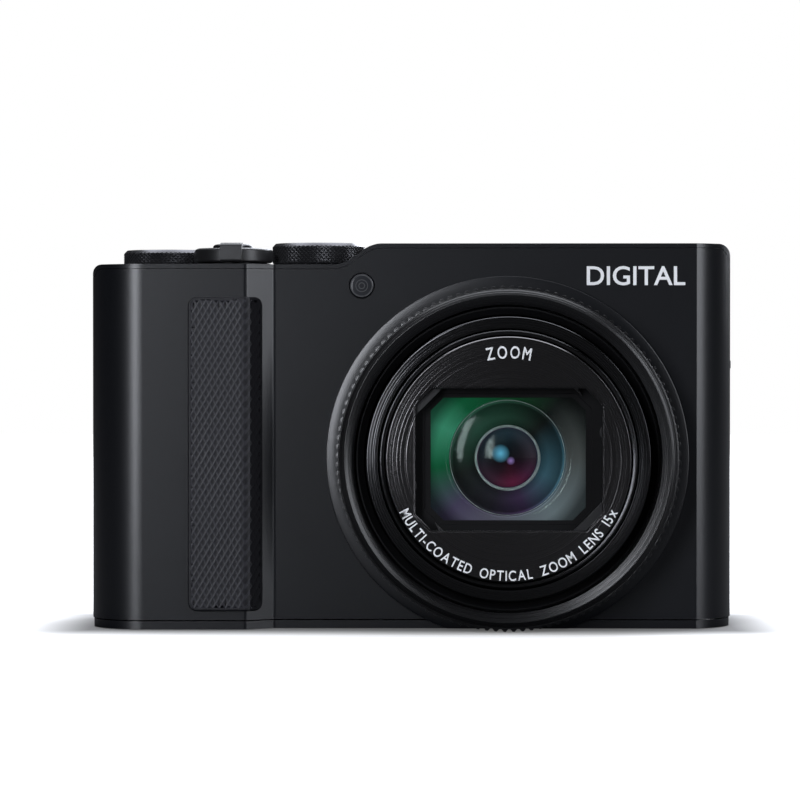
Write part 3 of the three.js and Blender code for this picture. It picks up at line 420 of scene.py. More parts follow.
def straight_text(text, size, matrix):
    bm = letters(text, size, 0.03)
    bmesh.ops.transform(bm, matrix=matrix, verts=bm.verts[:])
    return bm


def arc_text(text, size, radius, middle_angle, y, upright, narrow=0.78):
    """Letters round the lens axis, on a base line. An upright text reads from the left over the top."""
    glyphs = []
    gap, space = size * 0.14, size * 0.36
    for letter in text:
        if letter == " ":
            glyphs.append((None, space))
            continue
        bm = letters(letter, size, 0.03)
        xs = [vert.co.x / MM for vert in bm.verts]
        bmesh.ops.translate(bm, vec=(-(min(xs) + max(xs)) / 2 * MM, 0, 0), verts=bm.verts[:])
        bmesh.ops.scale(bm, vec=(narrow, 1, 1), verts=bm.verts[:])
        glyphs.append((bm, (max(xs) - min(xs)) * narrow))
    run = sum(width + gap for _, width in glyphs) - gap
    turn = -1 if upright else 1
    along = -run / 2
    placed = []
    for bm, width in glyphs:
        if bm:
            angle = radians(middle_angle) + turn * (along + width / 2) / radius
            spin = angle - pi / 2 if upright else angle + pi / 2
            spot = Vector((LENS.x + radius * cos(angle), y, LENS.z + radius * sin(angle))) * MM
            matrix = Matrix.Translation(spot) @ AXES["y"] @ Matrix.Rotation(spin, 4, "Z")
            bmesh.ops.transform(bm, matrix=matrix, verts=bm.verts[:])
            placed.append(bm)
        along += width + gap
    return joined(*placed)


# ---- Finishes ----

class Finish:
    """A material and short ways to add nodes to it."""

    def __init__(self, name, tree=None):
        if tree is None:
            self.material = bpy.data.materials.new(name)
            self.material.use_nodes = True
            tree = self.material.node_tree
            self.shader = tree.nodes["Principled BSDF"]
        self.tree = tree

    def add(self, kind, values=None, **settings):
        node = self.tree.nodes.new(kind)
        for key, value in settings.items():
            setattr(node, key, value)
        for key, value in (values or {}).items():
            if isinstance(value, bpy.types.NodeSocket):
                self.tree.links.new(value, node.inputs[key])
            else:
                node.inputs[key].default_value = value
        return node

    def math(self, operation, first, second):
        return self.add("ShaderNodeMath", {0: first, 1: second}, operation=operation).outputs[0]

    def vector(self, operation, first, second=None, output="Vector"):
        values = {0: first} if second is None else {0: first, 1: second}
        return self.add("ShaderNodeVectorMath", values, operation=operation).outputs[output]

    def mixed(self, blend, factor, first, second):
        node = self.add("ShaderNodeMix", data_type="RGBA", blend_type=blend)
        for socket, value in (("Factor", factor), ("A", first), ("B", second)):
            if isinstance(value, bpy.types.NodeSocket):
                self.tree.links.new(value, node.inputs[socket])
            else:
                node.inputs[socket].default_value = value
        return node.outputs["Result"]

    def spread(self, value, low_in, high_in, low_out=0.0, high_out=1.0):
        values = {"Value": value, "From Min": low_in, "From Max": high_in, "To Min": low_out, "To Max": high_out}
        return self.add("ShaderNodeMapRange", values).outputs[0]

    def ramp(self, factor, stops):
        node = self.add("ShaderNodeValToRGB", {"Fac": factor})
        ramp = node.color_ramp
        while len(ramp.elements) < len(stops):
            ramp.elements.new(0.5)
        for element, (position, shade) in zip(ramp.elements, stops):
            element.position = position
            element.color = (*shade, 1)
        return node.outputs["Color"]

    def place(self):
        return self.add("ShaderNodeTexCoord").outputs["Object"]

    def feed(self, socket, value):
        target = self.shader.inputs[socket]
        if isinstance(value, bpy.types.NodeSocket):
            self.tree.links.new(value, target)
        else:
            target.default_value = value


def group(name, inputs, outputs, build):
    """A shader node group, built once, with its sockets and their default values."""
    if name in bpy.data.node_groups:
        return bpy.data.node_groups[name]
    tree = bpy.data.node_groups.new(name, "ShaderNodeTree")
    for label, default in inputs.items():
        socket = tree.interface.new_socket(label, in_out="INPUT", socket_type="NodeSocketFloat")
        socket.default_value = default
    for label in outputs:
        tree.interface.new_socket(label, in_out="OUTPUT", socket_type="NodeSocketFloat")
    nodes = Finish(name, tree)
    made = build(nodes, nodes.add("NodeGroupInput").outputs)
    end = nodes.add("NodeGroupOutput")
    for label, socket in zip(outputs, made):
        tree.links.new(socket, end.inputs[label])
    return tree


def grain_group():
    """Fine grain of paint, moulding or anodising: a height and a patchy value from 0 to 1."""
    def build(nodes, given):
        place = nodes.place()
        fine = nodes.add("ShaderNodeTexNoise", {"Vector": place, "Scale": given["Fineness"], "Detail": 4.0})
        broad = nodes.add("ShaderNodeTexNoise", {"Vector": place, "Scale": given["Patches"], "Detail": 3.0})
        return fine.outputs[0], nodes.spread(broad.outputs[0], 0.35, 0.65)
    return group("Grain", {"Fineness": 6000.0, "Patches": 60.0}, ("Height", "Patch"), build)


def wear_group():
    """Where corners wear: a mask from the shape's pointed places, broken up by noise."""
    def build(nodes, given):
        point = nodes.add("ShaderNodeNewGeometry").outputs["Pointiness"]
        edge = nodes.spread(point, 0.53, 0.62)
        noise = nodes.add("ShaderNodeTexNoise", {"Vector": nodes.place(), "Scale": 350.0, "Detail": 5.0})
        broken = nodes.spread(noise.outputs[0], 0.42, 0.62)
        mask = nodes.math("MULTIPLY", edge, broken)
        return (nodes.math("MULTIPLY", mask, given["Amount"]),)
    return group("Wear", {"Amount": 0.5}, ("Mask",), build)


def dust_group():
    """Sparse specks that make a surface duller."""
    def build(nodes, given):
        cells = nodes.add("ShaderNodeTexVoronoi", {"Vector": nodes.place(), "Scale": given["Density"]})
        speck = nodes.spread(cells.outputs["Distance"], 0.02, 0.05, 1.0, 0.0)
        return (nodes.math("MULTIPLY", speck, given["Amount"]),)
    return group("Dust", {"Density": 450.0, "Amount": 0.3}, ("Mask",), build)


def finish(
    name, base, rough, worn=None, metallic=0.0, fineness=6000.0, relief=0.02, wear=0.4, dust=0.0, sockets=None,
):
    """A surface whose roughness, colour and relief vary as real coatings do. rough is its range."""
    made = Finish(name)
    grain = made.add("ShaderNodeGroup", node_tree=grain_group())
    grain.inputs["Fineness"].default_value = fineness
    rub = made.add("ShaderNodeGroup", node_tree=wear_group())
    rub.inputs["Amount"].default_value = wear
    worn = worn or tuple(min(1.0, part * 2.6 + 0.01) for part in base[:3])
    tone = made.ramp(grain.outputs["Patch"], [(0.0, base[:3]), (1.0, tuple(part * 1.06 for part in base[:3]))])
    made.feed("Base Color", made.mixed("MIX", rub.outputs["Mask"], tone, (*worn, 1)))
    roughness = made.spread(grain.outputs["Patch"], 0.0, 1.0, *rough)
    if dust:
        specks = made.add("ShaderNodeGroup", node_tree=dust_group())
        specks.inputs["Amount"].default_value = dust
        roughness = made.math("ADD", roughness, specks.outputs["Mask"])
    made.feed("Roughness", roughness)
    made.feed("Metallic", metallic)
    bump = made.add("ShaderNodeBump", {"Strength": 0.35, "Distance": relief * MM, "Height": grain.outputs["Height"]})
    made.feed("Normal", bump.outputs[0])
    for socket, value in (sockets or {}).items():
        made.feed(socket, value)
    return made.material


SPUN_DENSITY = 7000.0
SPUN_RELIEF = 0.03


def spun(name, base, rough, centre, axis, grooves=0.2, metallic=1.0):
    """A turned surface, with fine rings round its axis."""
    made = Finish(name)
    moved = made.vector("SUBTRACT", made.place(), Vector(centre) * MM)
    squeeze = [1.0, 1.0, 1.0]
    squeeze["xyz".index(axis)] = 0.0
    reach = made.vector("LENGTH", made.vector("MULTIPLY", moved, squeeze), output="Value")
    rings = made.add("ShaderNodeTexNoise", {"W": made.math("MULTIPLY", reach, SPUN_DENSITY), "Scale": 1.0, "Detail": 0.0},
                     noise_dimensions="1D")
    made.feed("Base Color", (*base[:3], 1))
    made.feed("Metallic", metallic)
    made.feed("Roughness", made.spread(rings.outputs[0], 0.3, 0.7, *rough))
    bump = made.add("ShaderNodeBump", {"Strength": grooves, "Distance": SPUN_RELIEF * MM, "Height": rings.outputs[0]})
    made.feed("Normal", bump.outputs[0])
    return made.material


def clear_glass(name, tint=(1, 1, 1), roughness=0.0, ior=1.5):
    made = Finish(name)
    made.feed("Base Color", (*tint, 1))
    made.feed("Roughness", roughness)
    made.feed("Transmission Weight", 1.0)
    made.feed("IOR", ior)
    return made.material


def coating(name, around_stops, outward_stops, reach, spots=()):
    """Painted reflections of a lens coating, given off as glow: stops round the lens axis times stops from the middle
    out, and soft spots of painted highlight.
    """
    made = Finish(name)
    centre = Vector((LENS.x, 0, LENS.z)) * MM
    apart = made.add("ShaderNodeSeparateXYZ", {0: made.vector("SUBTRACT", made.place(), centre)})
    flat_place = made.add("ShaderNodeCombineXYZ", {0: apart.outputs["X"], 1: apart.outputs["Z"]}).outputs[0]
    half_turned = made.vector("MULTIPLY", flat_place, (-1, -1, 1))
    turn = made.add("ShaderNodeTexGradient", {"Vector": half_turned}, gradient_type="RADIAL")
    shade = made.ramp(turn.outputs["Fac"], around_stops)
    reached = made.vector("LENGTH", flat_place, output="Value")
    level = made.ramp(made.spread(reached, 0.0, reach * MM), [(at, (v, v, v)) for at, v in outward_stops])
    result = made.mixed("MULTIPLY", 1.0, shade, level)
    for x, z, radius, tint in spots:
        near = made.vector("LENGTH", made.vector("SUBTRACT", flat_place, (x * MM, z * MM, 0)), output="Value")
        stops = [(0.0, tint), (0.35, [part * 0.6 for part in tint]), (1.0, (0, 0, 0))]
        result = made.mixed("ADD", 1.0, result, made.ramp(made.spread(near, 0.0, radius * MM), stops))
    # The painted reflection and highlight colours glow, so they show whatever light falls on them.
    made.feed("Emission Color", result)
    made.feed("Emission Strength", 1.0)
    made.feed("Base Color", (0.004, 0.005, 0.005, 1))
    made.feed("Roughness", 0.12)
    made.feed("Specular IOR Level", 0.12)
    return made.material


FINISHES = {}


def make_finishes(colours):
    paint, rubber, plastic = colours.paint, colours.rubber, colours.plastic
    FINISHES.update(
        paint=finish("satin_paint", paint, (0.305, 0.31), fineness=9000, relief=0.012, wear=0.06, dust=0.03),
        rubber=finish("grip_rubber", rubber, (0.44, 0.5), fineness=5000, relief=0.02, wear=0.3, dust=0.1,
                      sockets={"Specular IOR Level": 0.26}),
        # Lighter, shinier rubber for the lines between rhombs: a painted highlight.
        rubbed=finish("rubbed_rubber", [min(1, part * 2.4) for part in rubber], (0.42, 0.48), fineness=5000,
                      relief=0.01, wear=0.0, sockets={"Specular IOR Level": 0.36}),
        # Darker, duller rubber for the grip's wrapped side: painted shade.
        shaded=finish("shaded_rubber", [part * 0.6 for part in rubber], (0.6, 0.7), fineness=5000, wear=0.0,
                      sockets={"Specular IOR Level": 0.08}),
        plastic=finish("barrel_plastic", plastic, (0.32, 0.4), fineness=7000, relief=0.01, wear=0.2),
        matt=finish("matt_plastic", plastic, (0.5, 0.6), fineness=5000, relief=0.02, wear=0.2),
        key=finish("key_plastic", plastic, (0.34, 0.42), fineness=7000, relief=0.012, wear=0.35),
        baffle=finish("baffle_black", (0.002, 0.002, 0.0024), (0.6, 0.7), relief=0.02, wear=0.0,
                      sockets={"Specular IOR Level": 0.15}),
        ink=finish("white_ink", colours.ink, (0.45, 0.5), worn=(0.5, 0.5, 0.5), relief=0.004, wear=0.1),
        red=finish("red_ink", (0.42, 0.02, 0.015), (0.4, 0.45), relief=0.004, wear=0.1),
        steel=finish("plain_steel", (0.42, 0.42, 0.43), (0.3, 0.42), metallic=1.0, fineness=4000, wear=0.2),
        dark_steel=finish("black_steel", (0.05, 0.05, 0.052), (0.3, 0.4), metallic=0.8, fineness=7000, wear=0.8),
        leaf=finish("leaf_metal", (0.02, 0.02, 0.021), (0.38, 0.46), metallic=0.4, fineness=7000, wear=0.4),
        board=finish("board_green", (0.012, 0.075, 0.04), (0.3, 0.45), fineness=1500, relief=0.06),
        battery=finish("battery_sleeve", (0.05, 0.053, 0.058), (0.4, 0.5), fineness=4000),
        screen=finish("screen_gloss", (0.004, 0.0045, 0.006), (0.03, 0.07), fineness=300, relief=0.0005, wear=0.0,
                      dust=0.1),
        window=clear_glass("flash_prism", (0.95, 0.95, 0.92), 0.08, 1.45),
        front_glass=clear_glass("front_element_glass", (0.9, 1.0, 0.96), 0.0, 1.12),
        reflector=finish("flash_reflector", (0.75, 0.74, 0.7), (0.2, 0.3), metallic=0.6, fineness=900, wear=0.0),
    )


# ---- Casing ----

def plan_outline(sizes, inset=0.0):
    """The casing seen from above, as (x, y, radius) corners."""
    front = GRIP_FACE + sizes.grip_rise / MM + inset
    grip_edge = LEFT + sizes.grip_width / MM
    slope_end = grip_edge + sizes.slope_run / MM
    shift = inset * tan(atan2(sizes.grip_rise, sizes.slope_run) / 2)
    crease = RIGHT - sizes.side_crease / MM - inset * tan(sizes.side_turn / 2)
    side = RIGHT - inset
    corner = front + (side - crease) * tan(sizes.side_turn)
    side_radius = (side - crease) / cos(sizes.side_turn) / tan((pi / 2 - sizes.side_turn) / 2) - 0.05
    back_radius = sizes.back_corner / MM - inset
    return [
        (LEFT + inset, BACK - inset, back_radius),
        (LEFT + inset, GRIP_FACE + inset, sizes.front_corner / MM - inset),
        (grip_edge - shift, GRIP_FACE + inset, 1.4),
        (slope_end - shift, front, 1.0),
        (crease, front, 0.0),
        (side, corner, side_radius),
        (side, BACK - inset, back_radius),
    ]


def front_outline(sizes, drop, foot):
    """The casing seen from the front, lowered by a drop, as (x, z, radius) corners."""
    deck_top = HUMP - sizes.deck_drop / MM
    start, run = -sizes.hump_start / MM, sizes.hump_run / MM
    right_round, left_round, ease = 2.4, 2.0, 4.8
    step = max(drop - sizes.cover / MM, 0)
    return [
        (LEFT - 1, foot, 0), (RIGHT + 1, foot, 0), (RIGHT + 1, HUMP - right_round - step, 0),
        (RIGHT - drop, HUMP - right_round - step, 0), (RIGHT - drop, HUMP - drop, right_round - drop),
        (start + run, HUMP - drop, ease), (start, deck_top - drop, ease),
        (LEFT + drop, deck_top - drop, left_round - drop), (LEFT + drop, deck_top - left_round - step, 0),
        (LEFT - 1, deck_top - left_round - step, 0),
    ]


def front_block(sizes, drop, foot):
    return slab(front_outline(sizes, drop, foot), "y", GRIP_FACE - 2, BACK + 2, 8)


def plan_block(sizes, inset, foot, top):
    return slab(plan_outline(sizes, inset), "z", foot, top, 20)


def around(node, margin, axis, start, end, radius=0.0, segments=8):
    """A cutter round a CAD node, through the wall along an axis."""
    a, b = low(node), high(node)
    first, second = {"x": ("y", "z"), "y": ("x", "z"), "z": ("x", "y")}[axis]
    corners = rectangle(
        getattr(a, first) - margin, getattr(b, first) + margin,
        getattr(a, second) - margin, getattr(b, second) + margin, radius)
    return slab(corners, axis, start, end, segments)


def hole(node, margin, axis, start, end):
    """A round cutter about a CAD node's middle."""
    a, b = low(node), high(node)
    size = {"x": b.z - a.z, "y": b.x - a.x, "z": b.x - a.x}[axis]
    centre = middle(node)
    setattr(centre, axis, 0.0)
    return rod(size / 2 + margin, axis, start, end, centre)


BUTTONS = (
    "af_lock_button", "burst_button", "playback_button", "display_button", "quick_menu_button", "live_view_button",
)
BUTTON_FLANGE = 0.6
SCREWS = ((-53.0, 12.0), (-8.0, 15.5), (30.0, 14.5), (50.0, 8.0), (38.0, -6.5), (-2.0, -6.5))
SCREW_RADIUS = 1.15
SCREW_SINK = 0.65


class BuildCameraCasing(bpy.types.Operator):
    """Build the front, rear and top casing"""
    bl_idname = "compact_camera.casing"
    bl_label = "Casing"

    def execute(self, context):
        sizes = context.scene.camera_casing
        cover, wall, edge = sizes.cover / MM, sizes.wall / MM, sizes.edge / MM
        shell_drop = cover + HAIRLINE
        shell = common(plan_block(sizes, 0, SHELL_FOOT, HUMP + 1), front_block(sizes, shell_drop, SHELL_FOOT - 1))
        shell = combined(shell, plan_block(sizes, wall, SHELL_FOOT - 1, HUMP + 2))
        copy = shell.copy()
        front = combined(
            shell,
            block(LEFT - 2, RIGHT + 2, SPLIT_FRONT, BACK + 2, -1, HUMP + 3),
            rod(lens_radius("lens_sleeve") + 0.3, "y", GRIP_FACE - 1, SPLIT_FRONT, (LENS.x, 0, LENS.z), 96),
            hole("assist_lamp", 0.15, "y", GRIP_FACE - 1, 0),
            around("strap_lug_left", SEAM, "x", LEFT - 1, LEFT + 3, 2.2),
            around("strap_lug_right", SEAM, "x", RIGHT - 3, RIGHT + 1, 2.2),
            around("port_door", 0.25, "x", LEFT - 1, LEFT + 3, 0.4),
        )
        settle("front_casing", front, "paint", "body", "body_paint", "front_shell", edge=edge)
        behind = SPLIT_BACK - 1
        rear = combined(
            copy,
            block(LEFT - 2, RIGHT + 2, GRIP_FACE - 2, SPLIT_BACK, -1, HUMP + 3),
            around("screen_glass", SEAM, "y", behind, BACK + 1, 1.7),
            around("finder_block", SEAM, "y", behind, BACK + 1, 1.2),
            around("diopter_dial", 0.3, "y", behind, BACK + 1, 0.5),
            hole("four_way_pad", 0.3, "y", behind, BACK + 1),
            *[hole(name, 0.2 - BUTTON_FLANGE, "y", behind, BACK + 1) for name in BUTTONS],
        )
        settle("rear_casing", rear, "paint", "body", "body_paint", "rear_shell", edge=edge)
        deck = deck_level(context)
        block_top = common(plan_block(sizes, 0, 10, HUMP + 1), front_block(sizes, 0, 9))
        sheet = combined(block_top, front_block(sizes, cover, 8))
        dial, dial_radius = middle("mode_dial"), (high("mode_dial").x - low("mode_dial").x) / 2
        surround = common(
            plan_block(sizes, wall + SEAM, deck - cover, HUMP + 1),
            front_block(sizes, 0, 9),
        )
        surround = common(
            surround, block(dial.x + 1, dial.x + dial_radius + 3.1, GRIP_FACE, BACK, deck - cover, HUMP),
        )
        lever = middle("shutter_button")
        above = HUMP + 2
        switch, switch_y = (low("power_switch"), high("power_switch")), middle("power_switch").y
        top = combined(
            combined(sheet, surround, operation="UNION"),
            rod(dial_radius + 0.6, "z", deck, above, (dial.x, dial.y, 0), 96),
            rod(2.3, "z", deck - 6, above, (dial.x, dial.y, 0)),
            rod(2.3, "z", deck - 6, above, ground("rear_dial")),
            rod(4.7, "z", deck - 6, above, (lever.x, lever.y, 0)),
            rod(2.6, "z", deck - 6, above, ground("movie_button")),
            block(switch[0].x + 0.2, switch[1].x + 2.8, switch_y - 1, switch_y + 1, deck - 6, above),
            around("flash_head", 0.3, "z", deck - 6, above, 0.5),
            *microphones(deck, above),
        )
        settle("top_casing", top, "paint", "body", "body_paint", "top_cover", edge=0.5, segments=2)
        return {"FINISHED"}


def microphones(deck, above):
    """Cutters for two groups of small holes in the hump, ahead of the finder."""
    y = middle("flash_head").y + 9.0
    return [rod(0.32, "z", deck - 2, above, (x, y, 0), 12) for x in (-1.6, 0, 1.6, 10.4, 12.0, 13.6)]


class BuildCameraBase(bpy.types.Operator):
    """Build the base and the tripod socket"""
    bl_idname = "compact_camera.base"
    bl_label = "Base"

    def execute(self, context):
        sizes = context.scene.camera_casing
        foot, top = low("base_plate").z, high("base_plate").z
        plate = plan_block(sizes, SEAM, foot, top)
        plate = combined(
            plate,
            around("battery_door", 0.25, "z", foot - 1, top + 1, 0.4),
            hole("tripod_bush", 0.15, "z", foot - 1, top + 1),
            *[rod(SCREW_RADIUS + 0.2, "z", foot - 1, foot + SCREW_SINK, (x, y, 0), 32) for x, y in SCREWS],
        )
        settle("base", plate, "paint", "body", "body_paint", "base_plate", edge=0.45)
        bush_low, bush_high = low("tripod_bush"), high("tripod_bush")
        radius, height = (bush_high.x - bush_low.x) / 2, bush_high.z
        crest, root, pitch = 3.175, 3.7, 1.27
        thread = []
        level = bush_low.z + 0.35
        while level + pitch < height - 0.8:
            thread += [(crest, level), (crest, level + 0.25), (root, level + 0.62), (crest, level + 1.0)]
            level += pitch
        profile = [
            (crest + 0.35, bush_low.z), (radius, bush_low.z), (radius, height), (0.0, height),
            (0.0, height - 0.8), (crest, height - 0.8), *reversed(thread),
        ]
        bush = turned([(0.0, height - 0.8), *profile[5:], *profile[:4]], "z", ground("tripod_bush"), 64)
        settle("tripod_socket", bush, "steel", "body", "steel", "tripod_bush", edge=0.08)
        return {"FINISHED"}


# ---- Grips ----

def rhomb_sheet(width, height, margin, lift, controls):
    """A flat sheet of crossed ridges in XY, closed down to Z = 0."""
    wide, tall = (width - 2 * margin), (height - 2 * margin)
    wide /= round(wide / (controls.rhomb_width / MM))
    tall /= round(tall / (controls.rhomb_height / MM))
    count = int(width / wide + height / tall) + 4
    bm = bmesh.new()
    bmesh.ops.create_grid(bm, x_segments=count * 2, y_segments=count * 2, size=count * MM)
    across = Matrix(((wide / 2, wide / 2, 0, 0), (tall / 2, -tall / 2, 0, 0), (0, 0, 1, 0), (0, 0, 0, 1)))
    bmesh.ops.transform(bm, matrix=across, verts=bm.verts[:])
    bmesh.ops.translate(bm, vec=(width / 2 * MM, height / 2 * MM, lift * MM), verts=bm.verts[:])
    for x, y, nx, ny in (
        (margin, 0, -1, 0), (width - margin, 0, 1, 0), (0, margin, 0, -1), (0, height - margin, 0, 1),
    ):
        geometry = bm.verts[:] + bm.edges[:] + bm.faces[:]
        bmesh.ops.bisect_plane(
            bm, geom=geometry, plane_co=(x * MM, y * MM, 0), plane_no=(nx, ny, 0), clear_outer=True)
    border = [edge for edge in bm.edges if edge.is_boundary]
    full = wide * tall / 2 * MM ** 2
    cells = [face for face in bm.faces if face.calc_area() > full * 0.45]
    bmesh.ops.recalc_face_normals(bm, faces=bm.faces[:])
    if bm.faces[0].normal.z < 0:
        bmesh.ops.reverse_faces(bm, faces=bm.faces[:])
    made = bmesh.ops.inset_individual(
        bm, faces=cells, thickness=0.17 * MM, depth=-controls.rhomb_ridge, use_even_offset=True)
    # The ridges' faces take the lighter rubber, a painted highlight.
    for face in made["faces"]:
        face.material_index = 1
    skirt = new_verts(bmesh.ops.extrude_edge_only(bm, edges=border))
    bmesh.ops.translate(bm, vec=(0, 0, -lift * MM), verts=skirt)
    rim = [edge for edge in bm.edges if edge.is_boundary]
    bmesh.ops.edgeloop_fill(bm, edges=rim)
    return outward(bm)


def pad_body(width, height, thickness, corner, cuts=()):
    """A flat pad with rounded corners and a soft rim in XY."""
    bm = slab(rectangle(0, width, 0, height, corner), "z", 0, thickness)
    rim = [edge for edge in bm.edges if all(vert.co.z > thickness * MM / 2 for vert in edge.verts)]
    bmesh.ops.bevel(
        bm, geom=rim, offset=0.35 * MM, offset_type="OFFSET", affect="EDGES", segments=4, profile=0.5, material=-1)
    for place in cuts:
        geometry = bm.verts[:] + bm.edges[:] + bm.faces[:]
        bmesh.ops.bisect_plane(bm, geom=geometry, plane_co=(place * MM, 0, 0), plane_no=(1, 0, 0))
    return bm


PAD_THICKNESS = 0.72
PAD_BEND = 1.1
PAD_PAST_BEND = 3.0
PAD_SINK = 0.12


class BuildCameraGrips(bpy.types.Operator):
    """Build the grip's and the thumb's rubber"""
    bl_idname = "compact_camera.grips"
    bl_label = "Grips"

    def execute(self, context):
        casing, controls = context.scene.camera_casing, context.scene.camera_controls
        a, b = low("grip_pad"), high("grip_pad")
        angle = atan2(casing.grip_rise, casing.slope_run)
        bend = LEFT + casing.grip_width / MM - a.x
        width = bend + PAD_PAST_BEND
        height, thickness = b.z - a.z, PAD_THICKNESS
        radius = PAD_BEND
        reach = radius * angle
        start = bend - reach / 2
        cuts = [start + reach * step / 6 for step in range(7)]
        pad = joined(
            pad_body(width, height, thickness, 1.5, cuts),
            rhomb_sheet(width, height, 0.5, thickness + 0.05, controls),
        )
        # Faces past the bend take the darker rubber: painted shade on the wrapped side.
        for face in pad.faces:
            if face.calc_center_median().x > (start + reach) * MM:
                face.material_index = 2
        for vert in pad.verts:
            along, up, out = vert.co / MM
            if along <= start:
                turn, rest = 0.0, along - start
            elif along < start + reach:
                turn, rest = (along - start) / radius, 0.0
            else:
                turn, rest = angle, along - start - reach
            lift = radius + out
            x = a.x + start + lift * sin(turn) + rest * cos(turn)
            y = GRIP_FACE - PAD_SINK + radius - lift * cos(turn) + rest * sin(turn)
            vert.co = Vector((x, y, a.z + up)) * MM
        bmesh.ops.recalc_face_normals(pad, faces=pad.faces[:])
        grip = settle("grip_rubber_pad", pad, "rubber", "body", "grip_rubber", "grip_pad", sharp=20)
        # Second finish: painted highlight on the ridges; third: painted shade on the wrapped side.
        grip.data.materials.append(FINISHES["rubbed"])
        grip.data.materials.append(FINISHES["shaded"])
        a, b = low("thumb_rest"), high("thumb_rest")
        width, height, thickness = b.x - a.x, b.z - a.z, b.y - a.y - 0.05
        rest = joined(
            pad_body(width, height, thickness, 2.4),
            rhomb_sheet(width, height, 1.6, thickness + 0.05, controls),
        )
        facing_back = Matrix(((-1, 0, 0, b.x * MM), (0, 0, 1, a.y * MM), (0, 1, 0, a.z * MM), (0, 0, 0, 1)))
        bmesh.ops.transform(rest, matrix=facing_back, verts=rest.verts[:])
        bmesh.ops.recalc_face_normals(rest, faces=rest.faces[:])
        thumb = settle("thumb_rubber_pad", rest, "rubber", "body", "grip_rubber", "thumb_rest", sharp=20)
        # Second finish: painted highlight on the ridges.
        thumb.data.materials.append(FINISHES["rubbed"])
        return {"FINISHED"}


# ---- Lens ----

class BuildCameraLensMount(bpy.types.Operator):
    """Build the collar, control ring and guide sleeve"""
    bl_idname = "compact_camera.lens_mount"
    bl_label = "Lens mount"

    def execute(self, context):
        sizes = context.scene.camera_lens
        flange = low("lens_flange")
        radius = lens_radius("lens_flange")
        sleeve = lens_radius("lens_sleeve")
        y0, y1 = flange.y, FLANGE_BACK
        ring = lens_turned([
            (sleeve + 0.2, y1), (radius, y1), (radius, y0 + 0.42), (radius - 0.12, y0 + 0.33),
            (radius - 1.6, y0), (sleeve + 0.2, y0),
        ], 192)
        ring = combined(ring, block(LENS.x - 40, LENS.x + 40, y0 - 1, y1 + 1, -5, flange.z))
        settle("lens_collar", ring, "paint", "body", "body_paint", "lens_flange", edge=0.12)
        front, rear = ends("control_ring")
        rib = lens_radius("control_ring")
        outer = rib - sizes.rib_height / MM
        inner = sleeve + 0.3
        turning = ribbed_ring([
            (inner, inner, rear), (outer, outer, rear), (outer, outer, rear - 0.25), (outer, rib, rear - 0.45),
            (outer, rib, front + 0.75), (outer, outer, front + 0.7), (outer - 0.12, outer - 0.12, front + 0.6),
            (outer - 0.2, outer - 0.2, front + 0.62), (outer - 0.3, outer - 0.3, front + 0.5),
            (outer - 0.95, outer - 0.95, front + 0.12), (outer - 1.12, outer - 1.12, front),
            (outer - 1.25, outer - 1.25, front + 0.03), (inner, inner, front + 0.8),
        ], sizes.ribs)
        settle(
            "ribbed_control_ring", turning, "turned_ring", "control_ring", "knurled_metal", "control_ring",
            edge=0.05, segments=2,
        )
        front, rear = ends("lens_sleeve")
        bore = sleeve - 1.45
        tube = lens_turned([
            (bore, rear), (sleeve, rear), (sleeve, front + 0.6), (sleeve - 0.3, front + 0.5),
            (bore + 0.1, front + 1.6), (bore + 0.1, front + 3), (bore, front + 3.2),
        ])
        settle("guide_sleeve", tube, "baffle", "body", "lens_plastic", "lens_sleeve", edge=0.08)
        return {"FINISHED"}


class BuildCameraBarrels(bpy.types.Operator):
    """Build the telescoping barrels"""
    bl_idname = "compact_camera.barrels"
    bl_label = "Barrels"

    def execute(self, context):
        radius = lens_radius("outer_barrel")
        front, rear = ends("outer_barrel")
        inner = lens_radius("middle_barrel") + 0.2
        shape = lens_turned([
            (inner, front + 0.15), (inner + 0.12, front), (radius - 0.2, front), (radius, front + 0.2),
            (radius, front + 3.2), (radius - 0.12, front + 3.3), (radius - 0.12, front + 3.7), (radius, front + 3.8),
            (radius, rear), (radius - 0.85, rear), (radius - 0.85, front + 1.2), (inner, front + 1.2),
        ], 192)
        settle(
            "zoom_barrel_outer", shape, "turned_barrel", "outer_barrel", "lens_plastic", "outer_barrel", edge=0.06,
            segments=2,
        )
        radius = lens_radius("middle_barrel")
        front, rear = ends("middle_barrel")
        shape = lens_turned([
            (radius - 0.85, front + 0.1), (radius - 0.65, front), (radius - 0.2, front), (radius, front + 0.2),
            (radius, front + 2.6), (radius - 0.1, front + 2.7), (radius - 0.1, front + 3.0), (radius, front + 3.1),
            (radius, rear), (radius - 0.85, rear),
        ], 192)
        settle(
            "zoom_barrel_middle", shape, "turned_barrel", "middle_barrel", "lens_plastic", "middle_barrel",
            edge=0.05, segments=2,
        )
        radius = lens_radius("front_barrel")
        front, rear = ends("front_barrel")
        shape = lens_turned([
            (radius - 0.85, front), (radius, front), (radius, rear), (radius - 0.85, rear),
        ], 192)
        settle(
            "zoom_barrel_front", shape, "plastic", "front_group", "lens_plastic", "front_barrel", edge=0.06,
            segments=2,
        )
        return {"FINISHED"}


